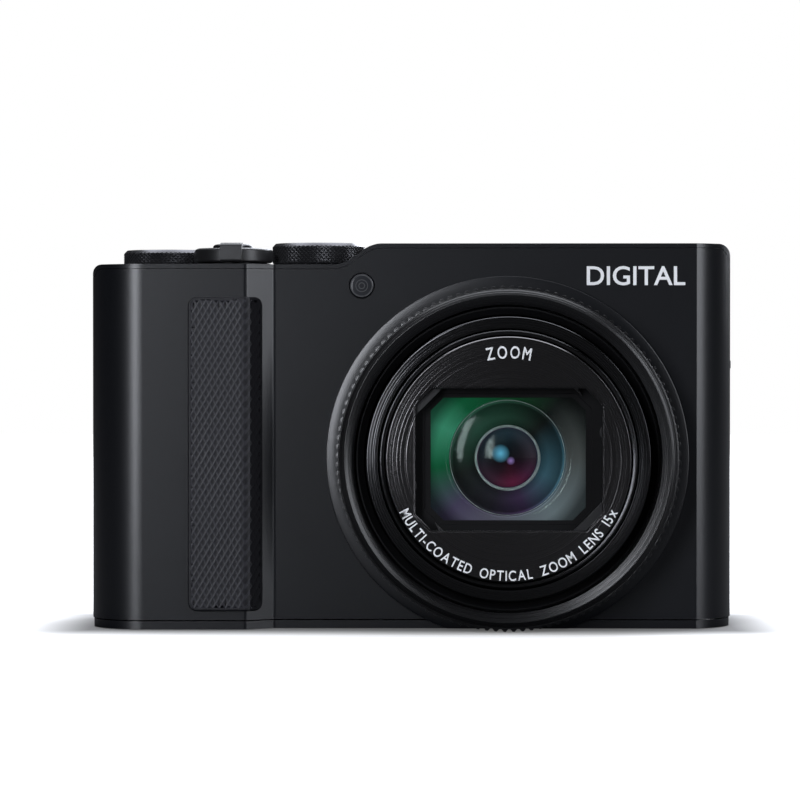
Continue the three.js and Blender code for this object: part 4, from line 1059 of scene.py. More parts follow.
class BuildCameraFrontPlate(bpy.types.Operator):
    """Build the plate with the window and its letters"""
    bl_idname = "compact_camera.front_plate"
    bl_label = "Front plate"

    def execute(self, context):
        sizes = context.scene.camera_lens
        front, rear = ends("front_plate")
        radius = lens_radius("front_plate")
        disc = lens_turned([
            (0, front), (radius - 0.22, front), (radius, front + 0.22), (radius, rear), (0, rear),
        ], 192)
        width, height, cut = sizes.window_width / MM, sizes.window_height / MM, sizes.window_cut / MM
        disc = combined(
            disc,
            slab(cut_corners(LENS.x, LENS.z, width, height, cut), "y", front - 1, rear + 1),
            slab(cut_corners(LENS.x, LENS.z, width + 0.5, height + 0.5, cut), "y", front - 1, front + 0.3),
        )
        settle("name_plate", disc, "name_plate", "front_group", "dark_metal", "front_plate", edge=0.08, segments=2)
        size = sizes.letter_height / MM / 0.72
        y = front + 0.02
        words = joined(
            arc_text("ZOOM", size * 1.22, radius - 3.7, 90, y, True, 0.72),
            arc_text("MULTI-COATED OPTICAL ZOOM LENS 15x", size, radius - 0.35, 270, y, False, 0.8),
        )
        settle("lens_lettering", words, "ink", "front_group", "dark_metal")
        front, rear = ends("light_baffle")
        opening = cut_corners(LENS.x, LENS.z, 26.3, 20.8, 2.2)
        step = cut_corners(LENS.x, LENS.z, 28.4, 22.2, 2.6)
        mask = combined(
            lens_turned([(0, front), (19.6, front), (19.6, rear), (0, rear)], 96),
            slab(opening, "y", front - 1, rear + 1),
            slab(step, "y", front - 1, front + 0.3),
        )
        settle("inner_mask", mask, "baffle", "front_group", "black_plastic", "light_baffle", edge=0.06, segments=2)
        return {"FINISHED"}


class BuildCameraOptics(bpy.types.Operator):
    """Build the glass and its mounts"""
    bl_idname = "compact_camera.optics"
    bl_label = "Optics"

    def execute(self, context):
        vertex, back = ends("front_element")
        radius = lens_radius("front_element")
        sag = 2.2
        steps = 14
        dome = [(radius * i / steps, vertex + sag * (i / steps) ** 2) for i in range(steps + 1)]
        glass = lens_turned([*dome, (radius, back), (0, back)], 96)
        settle("front_element_glass", glass, "front_glass", "front_group", "coated_glass", "front_element", sharp=60)
        # The cell's front and the inner domes are opaque and glow with painted reflections of coated glass.
        front, rear = ends("lens_cell")
        radius = lens_radius("lens_cell")
        bore = 10.15
        cell = lens_turned([
            (bore, front + 1.5), (bore + 0.35, front + 1.1), (bore + 0.8, front + 1.1), (radius - 1.6, front + 0.1),
            (radius, front), (radius, rear), (5.4, rear), (5.4, rear - 1.0), (bore, rear - 1.0),
        ], 128)
        settle("coated_ring", cell, "coat_outer", "front_group", "black_plastic", "lens_cell", sharp=50)
        front, rear = ends("inner_element")
        steps = 8
        outer = [(5.6 + 4.35 * i / steps, front + 0.35 + 0.9 * (i / steps) ** 2) for i in range(steps + 1)]
        inner_glass = lens_turned([(5.6, rear - 0.6), *outer, (9.95, rear), (5.6, rear)], 96)
        settle(
            "inner_glass_outer", inner_glass, "coat_middle", "front_group", "coated_glass", "inner_element",
            sharp=60,
        )
        ring = joined(
            lens_turned(
                [(5.2, front + 0.3), (5.38, front + 0.1), (5.56, front + 0.25), (5.56, rear), (5.2, rear)], 96,
            ),
            lens_turned(
                [(9.72, front + 1.3), (9.76, front + 1.1), (9.86, front + 1.1), (9.86, rear), (9.72, rear)], 128,
            ),
        )
        # The rims glow faintly: a painted highlight.
        settle("inner_glass_rim", ring, "rim", "front_group", "coated_glass", edge=0.05, segments=2)
        middle_dome = [(5.0 * i / steps, front + 0.5 + 1.0 * (i / steps) ** 2) for i in range(steps + 1)]
        core = lens_turned([*middle_dome, (5.0, rear), (0, rear)], 96)
        settle("inner_glass_core", core, "coat_core", "front_group", "coated_glass", sharp=60)
        return {"FINISHED"}


# ---- Top controls ----

class BuildCameraLever(bpy.types.Operator):
    """Build the zoom lever and the shutter button"""
    bl_idname = "compact_camera.lever"
    bl_label = "Zoom lever"

    def execute(self, context):
        deck = deck_level(context)
        a, b = low("zoom_lever"), high("zoom_lever")
        x, y = middle("shutter_button").x, middle("shutter_button").y
        radius = (b.x - a.x) / 2
        tab_top = b.z
        ring_top, ring_foot = deck + 2.9, deck + 0.4
        shape = turned([
            (2.1, a.z), (4.4, a.z), (4.4, ring_foot), (radius - 0.35, ring_foot), (radius, ring_foot + 0.3),
            (radius, ring_top - 0.55), (radius - 0.2, ring_top - 0.2), (radius - 0.6, ring_top),
            (4.6, ring_top + 0.05), (4.0, ring_top - 0.35), (4.0, deck + 0.9), (2.1, deck + 0.9),
        ], "z", (x, y, 0), 96)
        half = 1.85
        tip = a.y
        side = [
            (tip, ring_foot, 0.5), (tip + 0.2, tab_top - 0.2, 0.7), (tip + 3.2, tab_top, 0.6),
            (tip + 4.8, ring_top - 0.4, 0.0), (tip + 4.8, ring_foot, 0.0),
        ]
        tab = slab(side, "x", x - half, x + half, 6)
        shape = combined(shape, tab, operation="UNION")
        settle("zoom_lever_ring", shape, "key", "zoom_lever", "black_plastic", "zoom_lever", edge=0.16)
        collar = turned([
            (4.9, deck - 0.1), (radius - 0.35, deck - 0.1), (radius - 0.35, deck + 0.15), (radius - 0.5, deck + 0.25),
            (4.9, deck + 0.25),
        ], "z", (x, y, 0), 96)
        settle("lever_collar", collar, "dark_steel", "body", "dark_metal", edge=0.06)
        top, foot = high("shutter_button").z, low("shutter_button").z
        button = turned([
            (0, foot), (1.8, foot), (1.8, top - 1.4), (3.6, top - 1.4), (3.6, top - 0.35), (3.3, top - 0.08), (
                2.9, top,
            ),
            (2.2, top - 0.06), (1.2, top - 0.16), (0, top - 0.2),
        ], "z", (x, y, 0), 96)
        settle(
            "shutter_cap", button, "shutter", "shutter_button", "dark_metal", "shutter_button", sharp=50, edge=0.08,
        )
        return {"FINISHED"}


class BuildCameraDials(bpy.types.Operator):
    """Build the knurled dials"""
    bl_idname = "compact_camera.dials"
    bl_label = "Dials"

    def execute(self, context):
        controls = context.scene.camera_controls
        deck = deck_level(context)
        pitch, depth = controls.knurl_pitch / MM, controls.knurl_depth / MM
        for name, node, rows in (("mode_dial_knob", "mode_dial", 4), ("rear_dial_knob", "rear_dial", 3)):
            a, b = low(node), high(node)
            radius, top = (b.x - a.x) / 2, b.z
            knurl_foot, knurl_top = deck + 0.45, top - 0.5
            shape = knurled(
                radius, knurl_foot, knurl_top,
                [(radius - 0.3, deck + 0.25), (2.0, deck + 0.25), (2.0, a.z)],
                [
                    (radius - 0.25, top - 0.35), (radius - 0.6, top), (radius - 1.5, top),
                    (radius - 1.7, top - 0.15), (1.0, top - 0.15),
                ],
                pitch, depth, rows, ground(node))
            settle(name, shape, "dial", node, "knurled_metal", node, sharp=28)
        dial = middle("mode_dial")
        top = high("mode_dial").z - 0.16
        marks = []
        for i, text in enumerate(("P", "A", "S", "M", "C", "iA", "15x", "II")):
            angle = -i * pi / 4
            turn = Matrix.Translation(Vector((dial.x, dial.y, top)) * MM) @ Matrix.Rotation(angle, 4, "Z")
            spot = turn @ Matrix.Translation((0, 4.2 * MM, 0))
            marks.append(straight_text(text, 2.1 if len(text) == 1 else 1.6, spot))
        settle("mode_dial_marks", joined(*marks), "ink", "mode_dial", "knurled_metal")
        a, b = dial.x - 0.35, dial.x + 0.35
        start, end = dial.y + 9.0, dial.y + 10.6
        pointer = slab([(a, start, 0), (b, start, 0), (b, end, 0.1), (a, end, 0.1)], "z", deck - 0.02, deck + 0.03)
        settle("dial_pointer", pointer, "ink", "body", "body_paint")
        return {"FINISHED"}


class BuildCameraDeckKeys(bpy.types.Operator):
    """Build the movie button and the power switch"""
    bl_idname = "compact_camera.deck_keys"
    bl_label = "Deck keys"

    def execute(self, context):
        deck = deck_level(context)
        top, foot = high("movie_button").z, low("movie_button").z
        centre = ground("movie_button")
        flange = deck - 1.4
        button = turned([
            (0, foot), (3.0, foot), (3.0, flange), (2.4, flange), (2.4, top - 0.25), (2.15, top), (0.95, top),
            (0.85, top - 0.08), (0, top - 0.08),
        ], "z", centre, 64)
        settle("movie_key", button, "key", "movie_button", "record_red", "movie_button", edge=0.05)
        dot = turned([(0, top - 0.09), (0.78, top - 0.09), (0.78, top - 0.03), (0, top + 0.0)], "z", centre, 48)
        settle("movie_dot", dot, "red", "movie_button", "record_red")
        a, b = low("power_switch"), high("power_switch")
        middle_y = middle("power_switch").y
        knob = slab(rectangle(a.x, b.x, a.y, b.y, 0.5), "z", deck + 0.25, b.z, 6)
        starts = [a.x + 0.7 + 0.65 * i for i in range(5)]
        knob = combined(knob, *[block(x, x + 0.25, a.y - 1, b.y + 1, b.z - 0.25, b.z + 1) for x in starts])
        stem = block(a.x + 0.5, b.x - 0.5, middle_y - 0.75, middle_y + 0.75, a.z, deck + 0.2)
        settle("power_slider", joined(knob, stem), "key", "power_switch", "black_plastic", "power_switch", edge=0.1)
        turned_back = Matrix.Rotation(pi, 4, "Z")
        words = joined(
            straight_text("OFF", 1.5, Matrix.Translation(Vector((a.x + 0.6, b.y + 2.0, deck)) * MM) @ turned_back),
            straight_text("ON", 1.5, Matrix.Translation(Vector((b.x + 2.7, b.y + 2.0, deck)) * MM) @ turned_back),
        )
        settle("power_words", words, "ink", "body", "body_paint")
        return {"FINISHED"}


class BuildCameraFlash(bpy.types.Operator):
    """Build the pop-up flash"""
    bl_idname = "compact_camera.flash"
    bl_label = "Flash"

    def execute(self, context):
        a, b = low("flash_head"), high("flash_head")
        pivot_y, pivot_z = b.y - 1.0, b.z - 1.0
        lid = slab(rectangle(a.x, b.x, a.y, pivot_y, 0.4), "z", b.z - 1.2, b.z, 6)
        hinge = rod(1.0, "x", a.x + 0.05, b.x - 0.05, (0, pivot_y, pivot_z), 40)
        lid = combined(lid, hinge, operation="UNION")
        window = low("flash_window"), high("flash_window")
        head = block(a.x + 1.5, b.x - 1.5, window[1].y + 0.2, pivot_y - 4.7, a.z, b.z - 1.15)
        lid = combined(lid, head, operation="UNION")
        settle("flash_lid", lid, "paint", "flash", "body_paint", "flash_head", edge=0.14)
        lens = slab(rectangle(window[0].x, window[1].x, window[0].z, window[1].z, 0.4), "y", window[0].y, window[1].y)
        count = 22
        pitch = (window[1].x - window[0].x - 1.0) / count
        ridges = [
            block(window[0].x + 0.5 + pitch * i, window[0].x + 0.5 + pitch * (i + 0.5), window[0].y - 0.08,
                  window[0].y + 0.1, window[0].z + 0.5, window[1].z - 0.5) for i in range(count)
        ]
        settle("flash_lens", joined(lens, *ridges), "window", "flash", "clear_glass", "flash_window")
        reflector = slab(
            rectangle(window[0].x, window[1].x, window[0].z, window[1].z, 0.4), "y", window[1].y + 0.04,
            window[1].y + 0.16,
        )
        settle("flash_reflector", reflector, "reflector", "flash", "clear_glass")
        dress("flash_tray", "matt")
        return {"FINISHED"}


# ---- Back ----

class BuildCameraScreen(bpy.types.Operator):
    """Build the screen"""
    bl_idname = "compact_camera.screen"
    bl_label = "Screen"

    def execute(self, context):
        a, b = low("screen_glass"), high("screen_glass")
        glass = slab(rectangle(a.x, b.x, a.z, b.z, 1.5), "y", a.y, b.y)
        settle("screen_cover", glass, "screen", "body", "gloss_black", "screen_glass", edge=0.2)
        lcd = low("lcd_panel"), high("lcd_panel")
        active = slab(
            rectangle(lcd[0].x + 2.2, lcd[1].x - 2.2, lcd[0].z + 1.2, lcd[1].z - 1.2, 0.0), "y", b.y - 0.01,
            b.y + 0.02,
        )
        settle("screen_active_area", active, "display", "body", "gloss_black")
        dress("lcd_panel", "matt")
        return {"FINISHED"}


class BuildCameraFinder(bpy.types.Operator):
    """Build the eye-level finder and its wheel"""
    bl_idname = "compact_camera.finder"
    bl_label = "Finder"

    def execute(self, context):
        a, b = low("finder_block"), high("finder_block")
        centre = middle("finder_block")
        housing = slab(rectangle(a.x, b.x, a.z, b.z, 1.0), "y", a.y, b.y)
        recess = [
            slab(rectangle(centre.x - w, centre.x + w, centre.z - h, centre.z + h, r), "y", b.y - d, b.y + 1)
            for w, h, r, d in ((7.5, 4.8, 2.0, 5.2), (7.0, 4.3, 1.8, 8.0))
        ]
        sensor = rod(0.9, "y", b.y - 0.4, b.y + 1, (a.x + 1.55, 0, centre.z - 3.6), 24)
        settle(
            "finder_housing", combined(housing, *recess, sensor), "matt", "body", "black_plastic", "finder_block",
            edge=0.12,
        )
        a, b = low("eyepiece_lens"), high("eyepiece_lens")
        width, height = (b.x - a.x) / 2, (b.z - a.z) / 2
        lens = slab(
            rectangle(centre.x - width, centre.x + width, centre.z - height, centre.z + height, 1.8), "y", a.y,
            b.y - 0.5,
        )
        crown = [face for face in lens.faces if face.normal.y > 0.9]
        for inset, rise in ((0.25, 0.22), (0.8, 0.16), (1.2, 0.1)):
            bmesh.ops.inset_region(lens, faces=crown, thickness=inset * MM, depth=0.0)
            bmesh.ops.translate(lens, vec=(0, rise * MM, 0), verts=list({v for f in crown for v in f.verts}))
        settle("eyepiece_glass", lens, "eyepiece", "body", "clear_glass", "eyepiece_lens", sharp=50)
        a, b = low("eyecup"), high("eyecup")
        rim = slab(rectangle(a.x, b.x, a.z, b.z, 2.0), "y", a.y, b.y)
        rim = combined(
            rim,
            slab(
                rectangle(centre.x - 7.9, centre.x + 7.9, centre.z - 5.2, centre.z + 5.2, 2.4), "y", a.y - 1,
                b.y + 1,
            ),
        )
        settle("eyecup_rubber", rim, "rubber", "body", "grip_rubber", "eyecup", edge=0.35, segments=4)
        a, b = low("diopter_dial"), high("diopter_dial")
        radius, place = (b.x - a.x) / 2, ground("diopter_dial")
        wheel = knurled(
            radius, a.z + 0.3, b.z - 0.3, [(radius - 0.3, a.z), (1.0, a.z)], [(radius - 0.3, b.z), (1.0, b.z)], 0.62,
            0.18, 3, place,
        )
        settle("diopter_wheel", wheel, "key", "diopter_dial", "black_plastic", "diopter_dial", sharp=28)
        return {"FINISHED"}


class BuildCameraButtons(bpy.types.Operator):
    """Build the buttons on the back"""
    bl_idname = "compact_camera.buttons"
    bl_label = "Buttons"

    def execute(self, context):
        for node in BUTTONS:
            a, b = low(node), high(node)
            centre = (middle(node).x, 0, middle(node).z)
            outer = (b.x - a.x) / 2
            radius, flange = outer - BUTTON_FLANGE, a.y + 0.7
            cap = turned([
                (0, a.y), (outer, a.y), (outer, flange), (radius, flange), (radius, b.y - 0.3), (
                    radius - 0.12, b.y - 0.1,
                ),
                (radius - 0.4, b.y), (radius * 0.5, b.y - 0.05), (0, b.y - 0.09),
            ], "y", centre, 64)
            settle(node.replace("_button", "_key"), cap, "key", node, "black_plastic", node, edge=0.05, sharp=40)
        a, b = low("four_way_pad"), high("four_way_pad")
        x, z = middle("four_way_pad").x, middle("four_way_pad").z
        radius, inner = (b.x - a.x) / 2, (high("set_button").x - low("set_button").x) / 2 + 0.35
        pad = turned([
            (inner, a.y), (radius, a.y), (radius, b.y - 0.35), (radius - 0.15, b.y - 0.1), (radius - 0.6, b.y),
            (radius - 2.0, b.y - 0.12), (inner + 0.6, b.y - 0.3), (inner, b.y - 0.35),
        ], "y", (x, 0, z), 96)
        settle("four_way_ring", pad, "key", "four_way_pad", "dark_metal", "four_way_pad", edge=0.06, sharp=40)
        marks = []
        for turn in range(4):
            arrow = slab(
                [(x - 0.55, z + 6.5, 0), (x + 0.55, z + 6.5, 0), (x, z + 7.3, 0)], "y", b.y - 0.1, b.y + 0.01,
            )
            centre = Vector((x, 0, z)) * MM
            bmesh.ops.rotate(arrow, cent=centre, matrix=Matrix.Rotation(turn * pi / 2, 3, "Y"), verts=arrow.verts[:])
            marks.append(arrow)
        settle("four_way_marks", joined(*marks), "ink", "four_way_pad", "dark_metal")
        a, b = low("set_button"), high("set_button")
        radius = (b.x - a.x) / 2
        cap = turned([
            (0, a.y), (1.5, a.y), (1.5, b.y - 2.6), (radius, b.y - 2.6), (radius, b.y - 0.35), (
                radius - 0.15, b.y - 0.1,
            ),
            (radius - 0.5, b.y), (radius * 0.5, b.y - 0.05), (0, b.y - 0.08),
        ], "y", (x, 0, z), 80)
        settle("set_key", cap, "key", "set_button", "dark_metal", "set_button", edge=0.06, sharp=40)
        behind = Matrix(((-1, 0, 0, 0), (0, 0, 1, 0), (0, 1, 0, 0), (0, 0, 0, 1)))
        for node, text, size in (("set_button", "SET", 1.7), ("live_view_button", "LVF", 1.3)):
            spot = Vector((middle(node).x, high(node).y - 0.09, middle(node).z - size * 0.35)) * MM
            shape = straight_text(text, size, Matrix.Translation(spot) @ behind)
            settle(node + "_label", shape, "ink", node, "black_plastic")
        dress("pad_carrier", "matt")
        return {"FINISHED"}


# ---- Small parts and inside ----

class BuildCameraLamp(bpy.types.Operator):
    """Build the assist lamp"""
    bl_idname = "compact_camera.lamp"
    bl_label = "Lamp"

    def execute(self, context):
        a, b = low("assist_lamp"), high("assist_lamp")
        centre = (middle("assist_lamp").x, 0, middle("assist_lamp").z)
        radius = (b.x - a.x) / 2
        lens = turned([
            (0, a.y + 0.1), (radius - 0.5, a.y + 0.06), (radius - 0.15, a.y + 0.12), (radius, a.y + 0.3), (
                radius, b.y - 0.6,
            ),
            (0, b.y - 0.6),
        ], "y", centre, 64)
        settle("lamp_lens", lens, "lamp", "body", "clear_glass", "assist_lamp", sharp=50)
        rings = [
            turned([(r, a.y + 0.3), (r + w, a.y + 0.3), (r + w, a.y + 0.02), (r, a.y + 0.02)], "y", centre, 48)
            for r, w in ((0.42, 0.16), (0.95, 0.14), (1.72, 0.2))
        ]
        settle("lamp_rings", joined(*rings), "lamp_grey", "body", "clear_glass")
        return {"FINISHED"}


def screw(x, y, z):
    """A small pan-head screw with a cross recess, its head downwards."""
    radius = SCREW_RADIUS
    head = turned([(0, 0), (radius, 0), (radius, 0.25), (radius - 0.2, 0.42), (0, 0.5)], "z", (0, 0, 0), 40)
    head = combined(head, block(-0.62, 0.62, -0.13, 0.13, 0.2, 1), block(-0.13, 0.13, -0.62, 0.62, 0.2, 1))
    down = Matrix.Translation(Vector((x, y, z)) * MM) @ Matrix.Rotation(pi, 4, "X")
    bmesh.ops.transform(head, matrix=down, verts=head.verts[:])
    return head


FRONT_WORD = "DIGITAL"
FRONT_WORD_SIZE = 4.6
FRONT_WORD_X, FRONT_WORD_Z = 38.5, 59.25


class BuildCameraHardware(bpy.types.Operator):
    """Dress the lugs, doors, screws and inner parts"""
    bl_idname = "compact_camera.hardware"
    bl_label = "Hardware"

    def execute(self, context):
        foot = low("base_plate").z
        screws = joined(*[screw(x, y, foot + SCREW_SINK - 0.02) for x, y in SCREWS])
        settle("base_screws", screws, "dark_steel", "body", "steel")
        for node, material in (
            ("lens_base", "matt"), ("image_sensor", "sensor"), ("zoom_motor", "steel"), ("chassis", "steel"),
            ("main_board", "board"), ("battery", "battery"), ("battery_bay", "matt"),
        ):
            dress(node, material)
        for node, material, body, slot in (
            ("strap_lug_left", "dark_steel", "body", "steel"), ("strap_lug_right", "dark_steel", "body", "steel"),
            ("battery_door", "paint", "battery_door", "body_paint"), (
                "door_latch", "key", "door_latch", "black_plastic",
            ),
            ("port_door", "rubber", "port_door", "black_plastic"), ("port_sockets", "steel", "body", "steel"),
            ("barrier_leaf_long_left", "leaf", "leaf_long_left", "dark_metal"),
            ("barrier_leaf_long_right", "leaf", "leaf_long_right", "dark_metal"),
            ("barrier_leaf_short_left", "leaf", "leaf_short_left", "dark_metal"),
            ("barrier_leaf_short_right", "leaf", "leaf_short_right", "dark_metal"),
        ):
            refined(node, material, body, slot, 0.05 if "leaf" in node else 0.12)
        front = GRIP_FACE + context.scene.camera_casing.grip_rise / MM
        spot = Matrix.Translation(Vector((FRONT_WORD_X, front - 0.01, FRONT_WORD_Z)) * MM)
        words = straight_text(FRONT_WORD, FRONT_WORD_SIZE, spot @ AXES["y"])
        settle("front_lettering", words, "ink", "body", "body_paint")
        return {"FINISHED"}


def build_special_finishes():
    """Finishes that need the lens's place or a pattern of their own."""
    lens = (LENS.x, 0, LENS.z)
    # Colours of painted reflections in the coated lens glass, given off as glow.
    green, teal, grey = (0.004, 0.07, 0.028), (0.035, 0.2, 0.12), (0.05, 0.052, 0.054)
    violet, blue = (0.05, 0.038, 0.08), (0.11, 0.13, 0.15)
    dark = (0.006, 0.007, 0.007)
    FINISHES.update(
        name_plate=spun("name_plate_metal", (0.075, 0.073, 0.075), (0.2, 0.22), lens, "y", 0.82),
        turned_ring=spun("turned_ring", (0.003, 0.003, 0.0035), (0.27, 0.32), lens, "y", 0.6, 0.0),
        turned_barrel=spun("turned_barrel", (0.045, 0.045, 0.047), (0.17, 0.19), lens, "y", 0.95, 1.0),
        dial=finish("dial_metal", (0.06, 0.06, 0.064), (0.22, 0.3), metallic=0.85, fineness=8000, wear=0.9),
        shutter=spun("shutter_metal", (0.05, 0.051, 0.054), (0.25, 0.36), middle("shutter_button"), "z"),
        # Painted reflections of the coated glass, glowing round the lens axis.
        coat_outer=coating(
            "front_coating",
            [(0.0, grey), (0.13, dark), (0.24, (0.004, 0.035, 0.012)), (0.36, green), (0.43, teal), (0.52, green),
             (0.62, violet), (0.72, (0.085, 0.078, 0.11)), (0.86, blue), (1.0, grey)],
            [(0.0, 0.4), (0.56, 0.9), (0.68, 1.0), (0.8, 0.3), (1.0, 0.1)], 18.0),
        coat_middle=coating(
            "middle_coating",
            [(0.0, (0.02, 0.05, 0.07)), (0.12, dark), (0.25, (0.01, 0.03, 0.02)), (0.38, (0.014, 0.045, 0.03)),
             (0.55, dark), (0.7, (0.012, 0.01, 0.016)), (0.8, (0.03, 0.016, 0.045)), (0.93, (0.03, 0.07, 0.1)),
             (1.0, (0.02, 0.05, 0.07))],
            [(0.0, 0.4), (0.55, 0.5), (0.7, 1.0), (0.93, 0.5), (0.96, 1.6), (1.0, 1.2)], 9.95),
        coat_core=coating(
            "core_coating",
            [(0.0, (0.03, 0.02, 0.03)), (0.25, (0.01, 0.02, 0.03)), (0.5, (0.008, 0.01, 0.015)),
             (0.66, (0.03, 0.008, 0.02)), (0.78, (0.08, 0.008, 0.03)), (0.9, (0.04, 0.008, 0.028)),
             (1.0, (0.02, 0.012, 0.02))],
            [(0.0, 0.1), (0.5, 0.35), (0.85, 1.0), (1.0, 0.7)], 5.0,
            # Two soft spots of painted highlight, cyan and violet, on the core.
            ((-1.2, 0.75, 1.6, (0.1, 0.36, 0.55)), (0.55, -0.5, 0.75, (0.24, 0.15, 0.4)))),
        lamp_grey=finish("lamp_grey", (0.04, 0.041, 0.044), (0.3, 0.4), relief=0.004, wear=0.0),
        # The rims glow faintly: a painted highlight.
        rim=finish("rim_grey", (0.17, 0.185, 0.19), (0.35, 0.45), wear=0.0,
                   sockets={"Emission Color": (0.2, 0.22, 0.23, 1), "Emission Strength": 0.35}),
        display=finish("display_dark", (0.006, 0.007, 0.009), (0.08, 0.12), fineness=2500, relief=0.0005, wear=0.0),
        # Painted reflection of the sensor's coating, given off as glow.
        sensor=coating(
            "sensor_glass", [(0.0, (0.01, 0.02, 0.04)), (0.5, (0.03, 0.01, 0.03)), (1.0, (0.01, 0.02, 0.04))],
            [(0.0, 1.0), (1.0, 0.6)], 10.0),
        eyepiece=finish(
            "eyepiece_coating", (0.006, 0.008, 0.012), (0.02, 0.05), fineness=300, relief=0.0003, wear=0.0,
        ),
        lamp=finish("lamp_window", (0.02, 0.021, 0.024), (0.12, 0.2), relief=0.002, wear=0.0),
    )


# ---- Stage ----

FLOOR_REACH, FLOOR_DROP = 1.5, 0.0001
# How far from the casing the floor's painted shadow reaches, where it touches and further out.
CONTACT_REACH, SHADE_REACH = 0.012, 0.05
LIT_PLACE = Vector((0, 0, 0.035))
VIEW_FROM, VIEW_TO = Vector((0.00626, -0.6096, 0.0468)), Vector((-0.0020, -0.0096, 0.0394))
VIEW_LENS = 156.6
# Name, azimuth and elevation in degrees, distance, width and height in metres, power in watts.
SOFTBOXES = (
    ("left_box", -24.5, 6, 0.8, 0.15, 0.9, 7.6),
    ("right_box", 55, 15, 0.8, 0.3, 0.62, 4.0),
    ("top_box", 180, 74, 1.1, 1.3, 0.9, 24.0),
    ("back_box", 155, 24, 1.0, 0.9, 0.6, 14.0),
)


def softbox(name, place, target, width, height, power):
    light = bpy.data.lights.new(name, "AREA")
    light.shape = "RECTANGLE"
    light.size, light.size_y = width, height
    light.energy = power
    light.color = (0.9, 0.93, 1.0)
    lamp = bpy.data.objects.new(name, light)
    lamp.location = place
    lamp.rotation_euler = (target - place).to_track_quat("-Z", "Y").to_euler()
    bpy.context.scene.collection.objects.link(lamp)


def camera_sees(tree, seen, other):
    """One value for what the camera sees directly, and another for light that bounces."""
    path = tree.nodes.new("ShaderNodeLightPath")
    mix = tree.nodes.new("ShaderNodeMix")
    mix.data_type = "RGBA"
    tree.links.new(path.outputs["Is Camera Ray"], mix.inputs["Factor"])
    mix.inputs["A"].default_value = (*[other] * 3, 1)
    mix.inputs["B"].default_value = (*[seen] * 3, 1)
    return mix.outputs["Result"]


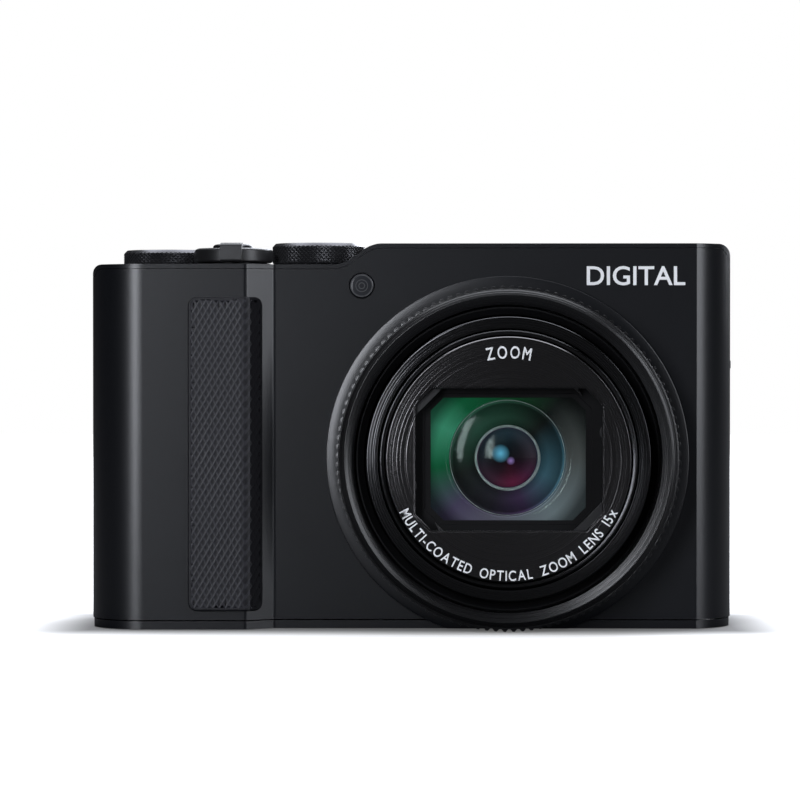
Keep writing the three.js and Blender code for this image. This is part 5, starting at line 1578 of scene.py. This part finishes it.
class BuildCameraStage(bpy.types.Operator):
    """Make the floor, the lights and the view"""
    bl_idname = "compact_camera.stage"
    bl_label = "Stage"

    def execute(self, context):
        scene = context.scene
        view = bpy.data.cameras.new("view")
        view.lens, view.sensor_width = VIEW_LENS, 36.0
        view.clip_start, view.clip_end = 0.01, 20.0
        eye = bpy.data.objects.new("view", view)
        eye.location = VIEW_FROM
        eye.rotation_euler = (VIEW_TO - VIEW_FROM).to_track_quat("-Z", "Y").to_euler()
        scene.collection.objects.link(eye)
        scene.camera = eye
        bm = bmesh.new()
        bmesh.ops.create_grid(bm, x_segments=4, y_segments=4, size=FLOOR_REACH)
        floor = as_object("floor", bm)
        floor.location.z = -FLOOR_DROP
        paper = bpy.data.materials.new("paper")
        paper.use_nodes = True
        shader = paper.node_tree.nodes["Principled BSDF"]
        glow = Finish("paper", paper.node_tree)
        centre = Vector((LEFT + RIGHT, GRIP_FACE + BACK, 0)) / 2
        half = Vector((RIGHT - LEFT, BACK - GRIP_FACE, 2)) / 2
        spots = glow.vector("ABSOLUTE", glow.vector("SUBTRACT", glow.place(), centre * MM))
        beside = glow.vector("MAXIMUM", glow.vector("SUBTRACT", spots, half * MM), (0, 0, 0))
        apart = glow.vector("LENGTH", beside, output="Value")
        # Painted shadow: the floor's colour darkens towards the casing's foot.
        close = glow.spread(apart, 0.0, CONTACT_REACH, 0.3, 1.0)
        tone = glow.mixed("MIX", close, (0, 0, 0, 1), camera_sees(paper.node_tree, 0.6, 0.07))
        paper.node_tree.links.new(tone, shader.inputs["Base Color"])
        # The floor glows for the camera, dimmer near the casing: painted shadow.
        level = glow.math("MULTIPLY", close, glow.spread(apart, 0.0, SHADE_REACH, 0.3, 1.0))
        seen = glow.math("MULTIPLY", level, glow.add("ShaderNodeLightPath").outputs["Is Camera Ray"])
        paper.node_tree.links.new(seen, shader.inputs["Emission Strength"])
        shader.inputs["Emission Color"].default_value = (1, 1, 1, 1)
        shader.inputs["Roughness"].default_value = 0.9
        shader.inputs["Specular IOR Level"].default_value = 0.0
        floor.data.materials.append(paper)
        world = bpy.data.worlds.new("surround")
        world.use_nodes = True
        background = world.node_tree.nodes["Background"]
        world.node_tree.links.new(camera_sees(world.node_tree, 1.0, 0.035), background.inputs["Color"])
        scene.world = world
        for name, azimuth, elevation, distance, width, height, power in SOFTBOXES:
            a, e = radians(azimuth), radians(elevation)
            way = Vector((sin(a) * cos(e), -cos(a) * cos(e), sin(e)))
            softbox(name, LIT_PLACE + way * distance, LIT_PLACE, width, height, power)
        scene.view_settings.view_transform = "Standard"
        return {"FINISHED"}


# ---- Add-on ----

class BuildCameraFinishes(bpy.types.Operator):
    """Make the materials"""
    bl_idname = "compact_camera.finishes"
    bl_label = "Finishes"

    def execute(self, context):
        make_finishes(context.scene.camera_colours)
        build_special_finishes()
        return {"FINISHED"}


OPERATORS = (
    BuildCameraFinishes,
    BuildCameraStage,
    BuildCameraCasing,
    BuildCameraBase,
    BuildCameraGrips,
    BuildCameraLensMount,
    BuildCameraBarrels,
    BuildCameraFrontPlate,
    BuildCameraOptics,
    BuildCameraLever,
    BuildCameraDials,
    BuildCameraDeckKeys,
    BuildCameraFlash,
    BuildCameraScreen,
    BuildCameraFinder,
    BuildCameraButtons,
    BuildCameraLamp,
    BuildCameraHardware,
)
SETTINGS = (
    ("camera_casing", CasingSizes), ("camera_lens", LensSizes), ("camera_controls", ControlSizes),
    ("camera_colours", FinishColours),
)


class COMPACT_CAMERA_PT_panel(bpy.types.Panel):
    """Lists the settings and the build steps."""
    bl_idname = "COMPACT_CAMERA_PT_panel"
    bl_label = "Compact Camera"
    bl_space_type = "VIEW_3D"
    bl_region_type = "UI"
    bl_category = "Camera"

    def draw(self, context):
        for name, settings in SETTINGS:
            box = self.layout.box()
            for key in settings.__annotations__:
                box.prop(getattr(context.scene, name), key)
        for made in OPERATORS:
            self.layout.operator(made.bl_idname)


CLASSES = (*(settings for _, settings in SETTINGS), *OPERATORS, COMPACT_CAMERA_PT_panel)


def register():
    for kind in CLASSES:
        bpy.utils.register_class(kind)
    for name, settings in SETTINGS:
        setattr(bpy.types.Scene, name, PointerProperty(type=settings))


def unregister():
    for name, _ in SETTINGS:
        delattr(bpy.types.Scene, name)
    for kind in reversed(CLASSES):
        bpy.utils.unregister_class(kind)


def main():
    register()
    for made in OPERATORS:
        key = made.bl_idname.split(".")[1]
        getattr(bpy.ops.compact_camera, key)()


if __name__ == "__main__":
    main()
